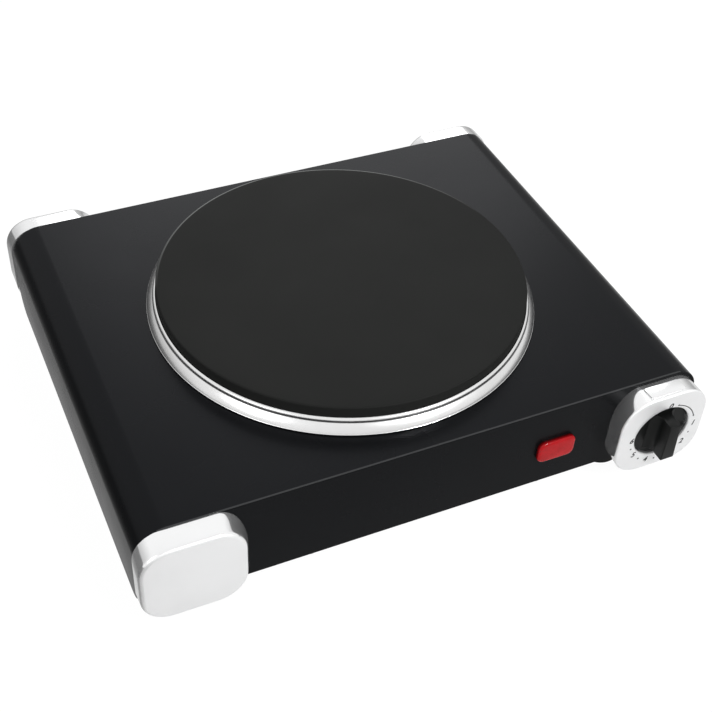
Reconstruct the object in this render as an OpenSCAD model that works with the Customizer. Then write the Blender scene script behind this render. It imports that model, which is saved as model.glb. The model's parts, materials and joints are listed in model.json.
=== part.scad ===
// Single cast-iron hot plate: sheet-steel case, chromed corner caps, rotary heat regulator.
// Origin: on the ground under the middle of the whole object. +Z up, the controls face -Y.

/* [Case] */
// Width of the case across its side walls
case_w = 286; // [270:1:320]
// Depth of the case from the front panel to the rear panel
case_d = 220; // [212:1:260]
// Height of the side walls
case_h = 49.5; // [47:0.5:60]
// Outer radius of the bend between the top and each side wall
bend_r = 12; // [6:0.5:14]
// Thickness of the painted steel sheet
sheet_t = 0.8; // [0.6:0.1:1.2]
// Radius of the lower corners of the side walls
wall_corner_r = 12; // [4:1:16]
// Width of the flanges along the bottom of the side walls
wall_flange_w = 12; // [10:1:16]
// Depth of the flanges folded back round the front and rear panels
panel_flange_d = 8; // [6:0.5:9]
// Gap between a panel and the cover that it slides into
seam_gap = 0.15; // [0.1:0.05:0.4]
// Distance that the bottom plate stays back from the outside of the case
bottom_inset = 2; // [1:0.5:4]

/* [Feet] */
// Height of the feet under the bottom plate
foot_h = 7.7; // [5:0.1:14]
// Diameter of a foot at its top
foot_d = 18; // [14:0.5:24]
// Distance from a side wall in to the middle of a foot
foot_in_x = 39; // [28:1:60]
// Distance from the front or rear panel in to the middle of a foot
foot_in_y = 14; // [14:0.5:30]

/* [Hot plate] */
// Diameter of the cast-iron plate
plate_d = 185; // [175:1:190]
// Height of the plate's top above the case
plate_rise = 13.5; // [11:0.5:18]
// Thickness of the plate's rim
plate_rim_t = 9.9; // [6:0.1:10.2]
// Thickness of the whole casting
plate_body_t = 16.5; // [15:0.5:19]
// Radius of the plate's upper edge
plate_edge_r = 2.5; // [0.5:0.1:4]
// Width of a heater groove
groove_w = 9; // [7:0.5:11]
// Depth of a heater groove
groove_depth = 8.5; // [7:0.5:10]
// Distance from one heater groove to the next
groove_pitch = 16; // [13:0.5:17]
// Radius of the innermost heater groove
groove_first_r = 36; // [34:0.5:38]
// Diameter of the wound heating wire
coil_d = 5.2; // [3:0.1:6]
// Diameter of the centre stud
stud_d = 8; // [6:0.5:10]

/* [Spill ring] */
// Radius of the ring's rounded flange
ring_round_r = 4.7; // [3.8:0.1:6]
// Thickness of the ring's sheet
ring_t = 0.6; // [0.4:0.05:0.8]
// Height of the ring's collar above the case
ring_collar_h = 7.3; // [6:0.1:8.5]

/* [Corner caps] */
// Width of a cap's front face
cap_face_w = 48.6; // [44:0.5:52]
// Height of a cap's front face
cap_face_h = 45.2; // [40:0.5:46]
// Width of a cap where it meets the case
cap_base_w = 52.2; // [50:0.5:56]
// Corner radius of a cap
cap_corner_r = 14; // [8:0.5:16]
// Distance that the caps and the knob housing stand out of the case
cap_out = 12.2; // [11:0.1:15]
// Wall of the caps and of the knob housing
cap_wall = 2.2; // [1.6:0.1:2.6]
// Rounding of a cap's front edge
cap_edge_r = 2.4; // [1:0.1:4]
// Distance that a cap stands proud of the side wall
cap_proud = 1; // [0.4:0.1:2]

/* [Knob and its housing] */
// Distance from the knob's axis to the right side wall
knob_in = 24.8; // [24:0.1:30]
// Distance from the knob's axis down from the top of the case
knob_down = 25.4; // [24:0.1:27]
// Width and height of the knob housing
housing_w = 47.8; // [44:0.2:48.6]
// Diameter of the round recess in the housing
recess_d = 30.9; // [28:0.1:32]
// Depth of the round recess
recess_depth = 8.7; // [8:0.1:9]
// Gap between the knob and the wall of the recess
knob_gap = 0.5; // [0.4:0.05:1]
// Distance that the knob's disc lies below the rim of the recess
knob_sink = 2.6; // [2:0.1:3.2]
// Thickness of the knob's disc
knob_disc_t = 2.2; // [1.6:0.1:2.6]
// Distance that the grip stands out of the housing
grip_out = 8.3; // [6:0.1:14]
// Length of the grip
grip_l = 22.4; // [18:0.2:25]
// Width of the grip at its tail
grip_tail_w = 7.6; // [7:0.1:10]
// Width of the grip at its pointing end
grip_point_w = 6; // [5:0.1:8]

/* [Regulator] */
// Diameter of the regulator shaft
shaft_d = 6; // [5:0.1:6.4]
// Gap between the shaft and each bore that it turns in
shaft_gap = 0.05; // [0.02:0.01:0.1]
// Width and height of the regulator case
reg_w = 34; // [32:0.5:38]
// Depth of the regulator case
reg_d = 22; // [20:0.5:28]
// Wall of the regulator case
reg_wall = 2.2; // [1.6:0.1:3]
// Thickness of the regulator's mounting plate
reg_plate_t = 1.2; // [0.8:0.1:2]
// Radius of the cam's round part
cam_r = 7; // [6:0.1:7.5]
// Distance that the cam's lobe is off the axis
cam_lobe = 2.2; // [1:0.1:3]

/* [Signal lamp] */
// Width of the lamp's lens
lens_w = 20.5; // [18:0.5:24]
// Height of the lamp's lens
lens_h = 13.5; // [12:0.5:16]
// Distance that the lens stands out of the panel
lens_out = 2.8; // [2:0.1:5]
// Distance from the middle of the case to the lamp
lamp_x = 65; // [50:1:72]
// Distance from the top of the case down to the lamp
lamp_down = 27.4; // [18:0.1:30]

/* [Cord entry] */
// Diameter of the bore for the cord
cord_bore_d = 7.8; // [6:0.1:9]
// Distance from the middle of the case to the cord entry
gland_x = 70; // [60:1:76]
// Distance from the top of the case down to the cord entry
gland_down = 27; // [16:0.5:28]
// Distance that the gland stands out of the rear panel
gland_out = 8; // [5:0.5:11]

/* [Wiring] */
// Diameter of the power leads inside the case
lead_d = 2.6; // [2:0.1:3.2]
// Diameter of the lamp's leads
lamp_lead_d = 1.6; // [1.2:0.1:2]

/* [Hidden] */
$fn = 96;

// Heights and main places
base_z = foot_h + sheet_t;
top_z = base_z + case_h;
knob_front = cap_out + grip_out;
case_y = (knob_front - cap_out) / 2;
front_y = -case_d / 2;
rear_y = case_d / 2;
cut = 1;
weld = 0.5;
wall_flange_y = rear_y - max(wall_corner_r, panel_flange_d) - 2;

// Feet
foot_x = case_w / 2 - foot_in_x;
foot_y = rear_y - foot_in_y;
foot_stem_r = 3.8;
foot_barb_r = 4.8;
foot_barb_h = 2.6;

// Vents in the bottom plate
vent_l = 46;
vent_w = 3;
vent_pitch = 9;
vent_rows = 6;
vent_x = 30;

// Hot plate and ring
plate_r = plate_d / 2;
plate_top_z = top_z + plate_rise;
rim_z = plate_top_z - plate_rim_t;
plate_under_z = plate_top_z - plate_body_t;
ring_gap = 0.3;
ring_in_r = plate_r + ring_gap;
ledge_in_r = plate_r - 3.9;
opening_r = ledge_in_r + ring_t + 0.4;
plate_body_r = ledge_in_r - 0.6;
groove_count = 3;
coil_z = plate_under_z + groove_depth / 2;
fill_gap = 0.1;
coil_gap = 0.15;
boss_r = stud_d / 2 + 8;
cover_r = plate_body_r - 6;
cover_t = 0.6;
cover_lip = 5;
cover_z = plate_under_z - cover_t;

// Centre stud and what hangs on it
stud_r = stud_d / 2;
stud_gap = 0.05;
stud_seat_d = 8;
stud_seat_z = plate_under_z + stud_seat_d;
bridge_t = 2;
bridge_w = 24;
bridge_clear = 6;
bridge_x = opening_r + bridge_clear;
bridge_foot = 14;
bridge_drop = 16;
bridge_z = top_z - bridge_drop;
washer_t = 1.6;
washer_r = stud_r + 5;
nut_h = stud_d * 0.8;
nut_r = stud_d * 0.94;
stud_end_z = bridge_z - washer_t - nut_h - 2;

// Heater pins: where they leave the innermost groove
pin_r = 1.5;
pin_angles = [-45, -75];
pin_drop = 16;
pin_end_z = top_z - pin_drop;
bead_r = 3.6;
bead_h = 8;
bead_gap = 0.2;

// Heat shield, cutout
shield_w = 160;
shield_d = 120;
shield_t = 0.6;
shield_foot = 10;
shield_h = 17.3;
shield_top_z = base_z + shield_h;
cutout_r = 8;
cutout_h = 6.5;
cutout_at = [-40, 34];
strap_t = 0.8;
strap_w = 7;
strap_l = 30;

// Screws
screw_r = 1.5;
screw_gap = 0.15;
head_r = 2.8;
head_h = 1.8;
screw_bite = 5;
shield_bite = 4;
earth_bite = 6;
wall_screw_y = [-70, 0, 70];
panel_screw_x = 60;
wall_screw_x = case_w / 2 - wall_flange_w / 2;

// Caps
cap_cx = case_w / 2 + cap_proud - cap_face_w / 2;
cap_base_cx = case_w / 2 + cap_proud / 2 - cap_base_w / 2;
cap_base_short = 0.8;
cap_base_h = case_h - cap_base_short;
cap_drop = 0.6;
cap_face_drop = 1.2;
cap_face_cz = top_z - cap_face_drop - cap_face_h / 2;
cap_base_cz = top_z - cap_drop - cap_base_h / 2;
cap_boss_r = 3.4;
cap_boss_x = 14;
cap_boss_d = cap_out - cap_wall - 1;

// Knob and its housing; z is measured out of the front panel
knob_x = case_w / 2 - knob_in;
knob_z = top_z - knob_down;
housing_edge_r = 2.2;
recess_r = recess_d / 2;
recess_wall = 1.8;
floor_front = cap_out - recess_depth;
floor_t = 1.5;
knob_r = recess_r - knob_gap;
disc_front = cap_out - knob_sink;
disc_back = disc_front - knob_disc_t;
shaft_r = shaft_d / 2;
hub_r = shaft_r + 3;
hub_gap = 0.8;
hub_back = floor_front - floor_t + 0.6;
socket_end = disc_front + 3;
flat_cut = 0.8;
scoop_r = 4;
reg_screw_x = hub_r + 4.6;
reg_screw_head_r = 2.6;

// Regulator; z is measured out of the front panel, so inside the case it is negative
reg_plate_back = -sheet_t - reg_plate_t;
reg_back = reg_plate_back - reg_d;
reg_front_t = 2.5;
reg_cover_t = 2.4;
bush_r = shaft_r + 2;
bush_front = floor_front - floor_t - 0.4;
bush_back = reg_plate_back - reg_front_t - 2;
cam_t = 5;
cam_gap = 0.6;
cam_front = bush_back - cam_gap;
shaft_back = reg_back + 1.2;
pivot_r = 2;
pivot_l = 2.6;
leaf_t = 0.5;
leaf_w = 5;
leaf_x = cam_r + cam_lobe + 1.9;
tab_w = 6.3;
tab_t = 0.8;
tab_out = 7.6;
tab_x = leaf_x;
tab_y = 9;
tab_gap = 0.1;

// Signal lamp
lamp_z = top_z - lamp_down;
lens_r = 3;
lens_edge = 1.4;
lens_lip = 1.5;
lens_wall = 1;
lens_body_w = lens_w - 2 * lens_lip;
lens_body_h = lens_h - 2 * lens_lip;
lamp_gap = 0.15;
lamp_body_d = 9;
holder_t = 1.8;
holder_d = 5;
lamp_base_t = 3;
bulb_r = 3;
bulb_l = 7;

// Cord entry
gland_z = top_z - gland_down;
gland_thread_r = cord_bore_d / 2 + 2.6;
gland_flange_r = gland_thread_r + 2.8;
gland_flange_t = 3;
gland_in = 8;
gland_gap = 0.1;
gland_nut_r = gland_thread_r + 3;
gland_nut_t = 4;

// Terminal block and wiring
block_w = 32;
block_d = 18;
block_h = 15;
block_in_y = 27;
block_y = rear_y - block_in_y;
pole_pitch = 10;
pole_h = 7.5;
pole_z = base_z + pole_h;
pole_hole_r = 2;
pole_screw_r = 1.8;
pole_screw_gap = 0.1;
block_front = block_y - block_d / 2;
lead_r = lead_d / 2;
lamp_lead_r = lamp_lead_d / 2;
lead_bend = 5;
lead_steps = 3;
lead_sides = 8;
tab_end_y = front_y - reg_back + reg_cover_t + tab_out;
shield_side = shield_w / 2 + shield_foot;
earth_out = 14;
earth_at = [shield_side + earth_out, block_y];
earth_tag_h = 2.4;
earth_tag_z = base_z + earth_tag_h;

// Moves a shape from the middle of the case to its place over the origin
module in_case() {
    translate([0, case_y, 0]) children();
}

// Frames whose z runs straight out of the front panel at the knob, the lamp and the cord entry
module at_knob() {
    in_case() translate([knob_x, front_y, knob_z]) rotate([90, 0, 0]) children();
}

module at_lamp() {
    in_case() translate([lamp_x, front_y, lamp_z]) rotate([90, 0, 0]) children();
}

module at_gland() {
    in_case() translate([gland_x, rear_y, gland_z]) rotate([-90, 0, 0]) children();
}

module rounded_rect(w, h, r) {
    square([w - 2 * r, h], center = true);
    square([w, h - 2 * r], center = true);
    for (sx = [-1, 1], sy = [-1, 1])
        translate([sx * (w / 2 - r), sy * (h / 2 - r)]) circle(r);
}

// Block with a rounded outline whose upper edge is rounded with radius edge
module rounded_block(w, h, r, depth, edge) {
    linear_extrude(depth - edge) rounded_rect(w, h, r);
    linear_extrude(depth) rounded_rect(w - 2 * edge, h - 2 * edge, r - edge);
    for (sx = [-1, 1], sy = [-1, 1])
        translate([sx * (w / 2 - r), sy * (h / 2 - r), depth - edge])
            rotate_extrude() translate([r - edge, 0]) circle(edge, $fn = 32);
    for (s = [-1, 1]) {
        translate([0, s * (h / 2 - edge), depth - edge]) rotate([0, 90, 0])
            cylinder(r = edge, h = w - 2 * r, center = true, $fn = 32);
        translate([s * (w / 2 - edge), 0, depth - edge]) rotate([90, 0, 0])
            cylinder(r = edge, h = h - 2 * r, center = true, $fn = 32);
    }
}

// Pan-head screw: the head's underside is at z = 0 and the shank runs down
module pan_screw(length, r = screw_r, head = head_r) {
    cylinder(r = head, h = head_h * 0.6);
    translate([0, 0, head_h * 0.6]) cylinder(r1 = head, r2 = head * 0.7, h = head_h * 0.4);
    translate([0, 0, -length]) cylinder(r = r, h = length + 0.1);
}

// Cross-section of the case, hanging down from y = 0
module case_profile(w, h, r) {
    translate([-w / 2, -h]) square([w, h - r]);
    translate([-w / 2 + r, -h]) square([w - 2 * r, h]);
    for (s = [-1, 1]) translate([s * (w / 2 - r), -r]) circle(r);
}

module top_cover() {
    in_case() color([0.07, 0.07, 0.08]) {
        difference() {
            translate([0, rear_y, top_z]) rotate([90, 0, 0]) linear_extrude(case_d) difference() {
                case_profile(case_w, case_h, bend_r);
                translate([0, -sheet_t]) case_profile(case_w - 2 * sheet_t, case_h, bend_r - sheet_t);
            }
            translate([0, 0, top_z - sheet_t - cut]) cylinder(r = opening_r, h = sheet_t + 2 * cut);
            for (s = [-1, 1]) difference() {
                translate([-case_w / 2 - cut, s > 0 ? rear_y - wall_corner_r : front_y - cut, base_z - cut])
                    cube([case_w + 2 * cut, wall_corner_r + cut, wall_corner_r + cut]);
                translate([0, s * (rear_y - wall_corner_r), base_z + wall_corner_r]) rotate([0, 90, 0])
                    cylinder(r = wall_corner_r, h = case_w + 4 * cut, center = true);
            }
        }
        for (s = [-1, 1]) difference() {
            translate([s > 0 ? case_w / 2 - wall_flange_w : -case_w / 2, -wall_flange_y, base_z])
                cube([wall_flange_w, 2 * wall_flange_y, sheet_t]);
            for (y = wall_screw_y) translate([s * wall_screw_x, y, base_z - cut])
                cylinder(r = screw_r + screw_gap, h = sheet_t + 2 * cut);
        }
    }
}

// Outline of a panel, inset on every side: bend radius above, wall corner radius below
module panel_profile(inset) {
    side = sheet_t + seam_gap + inset;
    half_w = case_w / 2 - side;
    low_r = wall_corner_r - inset;
    top_r = bend_r - side;
    translate([-half_w, inset - case_h + low_r]) square([2 * half_w, case_h - side - inset - low_r - top_r]);
    translate([low_r - half_w, inset - case_h]) square([2 * (half_w - low_r), low_r + weld]);
    translate([top_r - half_w, -side - top_r - weld]) square([2 * (half_w - top_r), top_r + weld]);
    for (s = [-1, 1]) {
        translate([s * (half_w - low_r), inset - case_h + low_r]) circle(low_r);
        translate([s * (half_w - top_r), -side - top_r]) circle(top_r);
    }
}

// Panel with its flanges; the outside faces -Y
module panel_shell() {
    translate([0, front_y + sheet_t, top_z]) rotate([90, 0, 0]) linear_extrude(sheet_t)
        panel_profile(0);
    translate([0, front_y + panel_flange_d, top_z]) rotate([90, 0, 0]) linear_extrude(panel_flange_d)
        difference() {
            panel_profile(0);
            panel_profile(sheet_t);
        }
}

// Holes for the screws that hold one cap, or the bottom plate, in a panel on the front side
module cap_screw_places(side) {
    for (dx = [-1, 1]) translate([side * cap_base_cx + dx * cap_boss_x, front_y, cap_base_cz])
        rotate([90, 0, 0]) children();
}

module panel_base_screw_places() {
    for (s = [-1, 1]) translate([s * panel_screw_x, front_y + panel_flange_d / 2, base_z]) children();
}

module panel_screw_holes(sides) {
    for (side = sides) cap_screw_places(side)
        translate([0, 0, -sheet_t - cut]) cylinder(r = screw_r + screw_gap, h = sheet_t + 2 * cut);
    panel_base_screw_places()
        translate([0, 0, -cut]) cylinder(r = screw_r + screw_gap, h = sheet_t + 2 * cut);
}

module front_panel() {
    color([0.07, 0.07, 0.08]) difference() {
        in_case() difference() {
            panel_shell();
            panel_screw_holes([-1]);
        }
        at_knob() translate([0, 0, -sheet_t - cut]) {
            cylinder(r = bush_r + 0.4, h = sheet_t + 2 * cut);
            for (s = [-1, 1]) translate([s * reg_screw_x, 0, 0])
                cylinder(r = screw_r + screw_gap, h = sheet_t + 2 * cut);
        }
        at_lamp() translate([0, 0, -sheet_t - cut]) linear_extrude(sheet_t + 2 * cut)
            rounded_rect(lens_body_w + 2 * lamp_gap, lens_body_h + 2 * lamp_gap, lens_lip);
    }
}

module rear_panel() {
    color([0.07, 0.07, 0.08]) difference() {
        in_case() mirror([0, 1, 0]) difference() {
            panel_shell();
            panel_screw_holes([-1, 1]);
        }
        at_gland() translate([0, 0, -sheet_t - cut])
            cylinder(r = gland_thread_r + gland_gap, h = sheet_t + 2 * cut);
    }
}

// Every place on the underside that takes a screw of the base
module base_screw_places() {
    for (s = [-1, 1], y = wall_screw_y) translate([s * wall_screw_x, y, base_z]) children();
    panel_base_screw_places() children();
    mirror([0, 1, 0]) panel_base_screw_places() children();
}

module foot_places() {
    for (sx = [-1, 1], sy = [-1, 1])
        translate([sx * foot_x, sy * foot_y, 0]) children();
}

module shield_screw_places() {
    for (sx = [-1, 1], sy = [-1, 1])
        translate([sx * (shield_w / 2 + shield_foot / 2), sy * shield_d / 3, base_z]) children();
}

module block_screw_places() {
    for (s = [-1, 1]) translate([gland_x + s * pole_pitch / 2, block_y, base_z]) children();
}

module vents() {
    for (side = [-1, 1], i = [0 : vent_rows - 1])
        translate([side * vent_x, (i - (vent_rows - 1) / 2) * vent_pitch, 0])
            linear_extrude(sheet_t + 2 * cut) rounded_rect(vent_l, vent_w, vent_w / 2 - 0.1);
}

module bottom_plate() {
    in_case() color([0.62, 0.63, 0.64]) difference() {
        translate([0, 0, foot_h]) linear_extrude(sheet_t)
            rounded_rect(case_w - 2 * bottom_inset, case_d - 2 * bottom_inset, wall_corner_r);
        translate([0, 0, foot_h - cut]) {
            foot_places() cylinder(r = foot_stem_r + 0.1, h = sheet_t + 2 * cut);
            vents();
        }
        translate([0, 0, -sheet_t - cut]) {
            base_screw_places() cylinder(r = screw_r + screw_gap, h = sheet_t + 2 * cut);
            shield_screw_places() cylinder(r = screw_r + screw_gap, h = sheet_t + 2 * cut);
            block_screw_places() cylinder(r = screw_r + screw_gap, h = sheet_t + 2 * cut);
            translate([earth_at.x, earth_at.y, base_z])
                cylinder(r = screw_r + screw_gap, h = sheet_t + 2 * cut);
        }
    }
}

module base_screws() {
    in_case() color([0.5, 0.5, 0.52]) base_screw_places()
        translate([0, 0, -sheet_t]) mirror([0, 0, 1]) pan_screw(sheet_t + screw_bite);
}

module foot(sx, sy) {
    in_case() color([0.09, 0.09, 0.09])
        translate([sx * foot_x, sy * foot_y, 0]) {
            cylinder(r1 = foot_d / 2 - 1, r2 = foot_d / 2, h = foot_h);
            cylinder(r = foot_stem_r, h = base_z + foot_barb_h);
            translate([0, 0, base_z]) cylinder(r1 = foot_barb_r, r2 = foot_stem_r, h = foot_barb_h);
        }
}

module foot_front_left() { foot(-1, -1); }
module foot_front_right() { foot(1, -1); }
module foot_rear_left() { foot(-1, 1); }
module foot_rear_right() { foot(1, 1); }

// Solid form of a cap, tapering from the case to the rounded front face; inset gives its inside
module cap_form(inset) {
    hull() {
        translate([cap_base_cx, front_y, cap_base_cz]) rotate([90, 0, 0]) linear_extrude(0.5)
            rounded_rect(cap_base_w - 2 * inset, cap_base_h - 2 * inset, cap_corner_r - inset, $fn = 48);
        for (a = [0, 30, 60, 90]) {
            side = inset + cap_edge_r * (1 - cos(a));
            out = cap_out - inset - cap_edge_r * (1 - sin(a));
            translate([cap_cx, front_y - out + 0.02, cap_face_cz]) rotate([90, 0, 0])
                linear_extrude(0.02) rounded_rect(cap_face_w - 2 * side, cap_face_h - 2 * side,
                    cap_corner_r - side, $fn = 48);
        }
    }
}

// Hollow cap with two screw bosses, drawn at the front right and mirrored to its corner
module corner_cap() {
    difference() {
        cap_form(0);
        difference() {
            cap_form(cap_wall);
            cap_screw_places(1) cylinder(r = cap_boss_r, h = cap_out);
        }
        cap_screw_places(1) translate([0, 0, -cut]) cylinder(r = screw_r, h = cap_boss_d + cut);
    }
}

module cap_at(sx, sy) {
    in_case() color([0.83, 0.84, 0.86])
        mirror([sx < 0 ? 1 : 0, 0, 0]) mirror([0, sy > 0 ? 1 : 0, 0]) corner_cap();
}

module cap_front_left() { cap_at(-1, -1); }
module cap_rear_left() { cap_at(-1, 1); }
module cap_rear_right() { cap_at(1, 1); }

module cap_screws() {
    in_case() color([0.5, 0.5, 0.52]) {
        cap_screw_pair(-1);
        mirror([0, 1, 0]) cap_screw_pair(-1);
        mirror([0, 1, 0]) cap_screw_pair(1);
    }
}

module cap_screw_pair(side) {
    cap_screw_places(side) translate([0, 0, -sheet_t]) mirror([0, 0, 1])
        pan_screw(sheet_t + cap_boss_d - 1, r = screw_r - 0.05);
}

function groove_r(i) = groove_first_r + i * groove_pitch;

// Half section of the casting: rim with a rounded edge, body, centre boss and heater grooves
module plate_section() {
    difference() {
        union() {
            translate([0, rim_z]) square([plate_r, plate_rim_t - plate_edge_r]);
            translate([0, rim_z]) square([plate_r - plate_edge_r, plate_rim_t]);
            translate([plate_r - plate_edge_r, plate_top_z - plate_edge_r]) circle(plate_edge_r);
            translate([0, plate_under_z]) square([plate_body_r, plate_body_t - plate_edge_r]);
        }
        translate([-cut, plate_under_z - cut]) square([stud_r + stud_gap + cut, stud_seat_z - plate_under_z + cut]);
        for (i = [0 : groove_count - 1])
            translate([groove_r(i) - groove_w / 2, plate_under_z - cut]) square([groove_w, groove_depth + cut]);
        translate([boss_r, plate_under_z - cut])
            square([groove_r(0) - groove_w / 2 - 4 - boss_r, groove_depth / 2 + cut]);
    }
}

module hot_plate() {
    in_case() color([0.17, 0.17, 0.175]) rotate_extrude($fn = 180) plate_section();
}

module heating_coils() {
    in_case() color([0.55, 0.5, 0.45]) for (i = [0 : groove_count - 1])
        translate([0, 0, coil_z]) rotate_extrude() translate([groove_r(i), 0]) circle(coil_d / 2, $fn = 32);
}

module coil_filler() {
    in_case() color([0.85, 0.83, 0.78]) for (i = [0 : groove_count - 1]) rotate_extrude() difference() {
        translate([groove_r(i) - groove_w / 2 + fill_gap, plate_under_z])
            square([groove_w - 2 * fill_gap, groove_depth]);
        translate([groove_r(i), coil_z]) circle(coil_d / 2 + coil_gap, $fn = 32);
    }
}

module pin_places() {
    for (a = pin_angles) rotate([0, 0, a]) translate([groove_first_r, 0, 0]) children();
}

module plate_cover() {
    in_case() color([0.6, 0.6, 0.58]) difference() {
        union() {
            translate([0, 0, cover_z]) cylinder(r = cover_r, h = cover_t);
            translate([0, 0, cover_z - cover_lip]) difference() {
                cylinder(r = cover_r, h = cover_lip + cover_t);
                translate([0, 0, -cut]) cylinder(r = cover_r - cover_t, h = cover_lip + cut);
            }
        }
        translate([0, 0, cover_z - cut]) cylinder(r = stud_r + 0.4, h = cover_t + 2 * cut);
        pin_places() translate([0, 0, cover_z - cut]) cylinder(r = bead_r + bead_gap, h = cover_t + 2 * cut);
    }
}

module pin_insulators() {
    in_case() color([0.93, 0.92, 0.88]) pin_places() translate([0, 0, plate_under_z - bead_h]) difference() {
        cylinder(r = bead_r, h = bead_h);
        translate([0, 0, -cut]) cylinder(r = pin_r + bead_gap, h = bead_h + 2 * cut);
    }
}

module heater_pins() {
    in_case() color([0.72, 0.68, 0.6]) pin_places() translate([0, 0, pin_end_z])
        cylinder(r = pin_r, h = plate_under_z - pin_end_z);
}

// Spill ring: hemmed collar round the plate, ledge under its rim, rounded flange down to the case
module spill_ring() {
    in_case() color([0.8, 0.8, 0.81]) translate([0, 0, top_z]) rotate_extrude($fn = 180) {
        ledge_top = plate_rise - plate_rim_t;
        translate([ring_in_r, 0]) intersection() {
            difference() {
                circle(ring_round_r);
                circle(ring_round_r - ring_t);
            }
            square(ring_round_r);
        }
        translate([ring_in_r, ledge_top - ring_t]) square([ring_t, ring_collar_h - ledge_top + ring_t]);
        translate([ledge_in_r, ledge_top - ring_t]) square([ring_in_r - ledge_in_r + ring_t, ring_t]);
        translate([ledge_in_r, -3]) square([ring_t, ledge_top + 3]);
    }
}

module centre_stud() {
    in_case() color([0.6, 0.6, 0.6]) translate([0, 0, stud_end_z])
        cylinder(r = stud_r, h = stud_seat_z - stud_end_z);
}

module mounting_bridge() {
    in_case() color([0.66, 0.66, 0.62]) difference() {
        union() {
            translate([-bridge_x, -bridge_w / 2, bridge_z]) cube([2 * bridge_x, bridge_w, bridge_t]);
            for (s = [-1, 1]) {
                translate([s > 0 ? bridge_x - bridge_t : -bridge_x, -bridge_w / 2, bridge_z])
                    cube([bridge_t, bridge_w, top_z - sheet_t - bridge_z]);
                translate([s > 0 ? bridge_x - bridge_t : -bridge_x - bridge_foot, -bridge_w / 2,
                    top_z - sheet_t - bridge_t])
                    cube([bridge_foot + bridge_t, bridge_w, bridge_t]);
            }
        }
        translate([0, 0, bridge_z - cut]) cylinder(r = stud_r + 0.4, h = bridge_t + 2 * cut);
    }
}

module stud_washer() {
    in_case() color([0.7, 0.7, 0.7]) translate([0, 0, bridge_z - washer_t]) difference() {
        cylinder(r = washer_r, h = washer_t);
        translate([0, 0, -cut]) cylinder(r = stud_r + 0.3, h = washer_t + 2 * cut);
    }
}

module stud_nut() {
    in_case() color([0.68, 0.66, 0.6]) translate([0, 0, bridge_z - washer_t - nut_h]) difference() {
        cylinder(r = nut_r, h = nut_h, $fn = 6);
        translate([0, 0, -cut]) cylinder(r = stud_r + stud_gap, h = nut_h + 2 * cut);
    }
}

module thermal_cutout() {
    in_case() color([0.2, 0.2, 0.22]) translate([cutout_at.x, cutout_at.y, cover_z - cutout_h])
        cylinder(r = cutout_r, h = cutout_h);
}

module cutout_strap() {
    in_case() color([0.7, 0.7, 0.7]) translate([cutout_at.x, cutout_at.y, cover_z]) {
        deep = cutout_h + strap_t;
        reach = cutout_r + 1;
        difference() {
            translate([-reach - strap_t, -strap_w / 2, -deep]) cube([2 * (reach + strap_t), strap_w, deep]);
            translate([-reach, -strap_w / 2 - cut, -cutout_h]) cube([2 * reach, strap_w + 2 * cut, cutout_h + cut]);
        }
        for (s = [-1, 1]) translate([s > 0 ? reach : -strap_l / 2, -strap_w / 2, -strap_t])
            cube([strap_l / 2 - reach, strap_w, strap_t]);
    }
}

// Heat shield: a sheet on two folded legs that stand on the bottom plate
module heat_shield() {
    in_case() color([0.75, 0.76, 0.77]) difference() {
        union() {
            translate([-shield_w / 2, -shield_d / 2, shield_top_z - shield_t]) cube([shield_w, shield_d, shield_t]);
            for (s = [-1, 1]) {
                translate([s > 0 ? shield_w / 2 - shield_t : -shield_w / 2, -shield_d / 2, base_z])
                    cube([shield_t, shield_d, shield_top_z - base_z]);
                translate([s > 0 ? shield_w / 2 - shield_t : -shield_w / 2 - shield_foot, -shield_d / 2, base_z])
                    cube([shield_foot + shield_t, shield_d, shield_t]);
            }
        }
        shield_screw_places() translate([0, 0, -cut]) cylinder(r = screw_r + screw_gap, h = shield_t + 2 * cut);
    }
}

module shield_screws() {
    in_case() color([0.5, 0.5, 0.52]) shield_screw_places()
        translate([0, 0, -sheet_t]) mirror([0, 0, 1]) pan_screw(sheet_t + shield_bite);
}

// Knob housing: hollow block round a deep round recess with a floor
module knob_housing() {
    at_knob() color([0.83, 0.84, 0.86]) difference() {
        rounded_block(housing_w, housing_w, cap_corner_r, cap_out, housing_edge_r);
        difference() {
            inside = housing_w - 2 * cap_wall;
            translate([0, 0, -cut]) linear_extrude(cap_out - cap_wall + cut)
                rounded_rect(inside, inside, cap_corner_r - cap_wall);
            translate([0, 0, floor_front - floor_t]) cylinder(r = recess_r + recess_wall, h = recess_depth + floor_t);
        }
        translate([0, 0, floor_front]) cylinder(r = recess_r, h = recess_depth + cut);
        translate([0, 0, -cut]) cylinder(r = hub_r + hub_gap, h = cap_out);
        for (s = [-1, 1]) translate([s * reg_screw_x, 0, -cut])
            cylinder(r = screw_r + screw_gap, h = floor_front + 2 * cut);
    }
}

// Shape of the shaft's end, with one flat
module shaft_end(r, flat) {
    difference() {
        circle(r);
        translate([-r - cut, r - flat]) square([2 * (r + cut), flat + cut]);
    }
}

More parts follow.
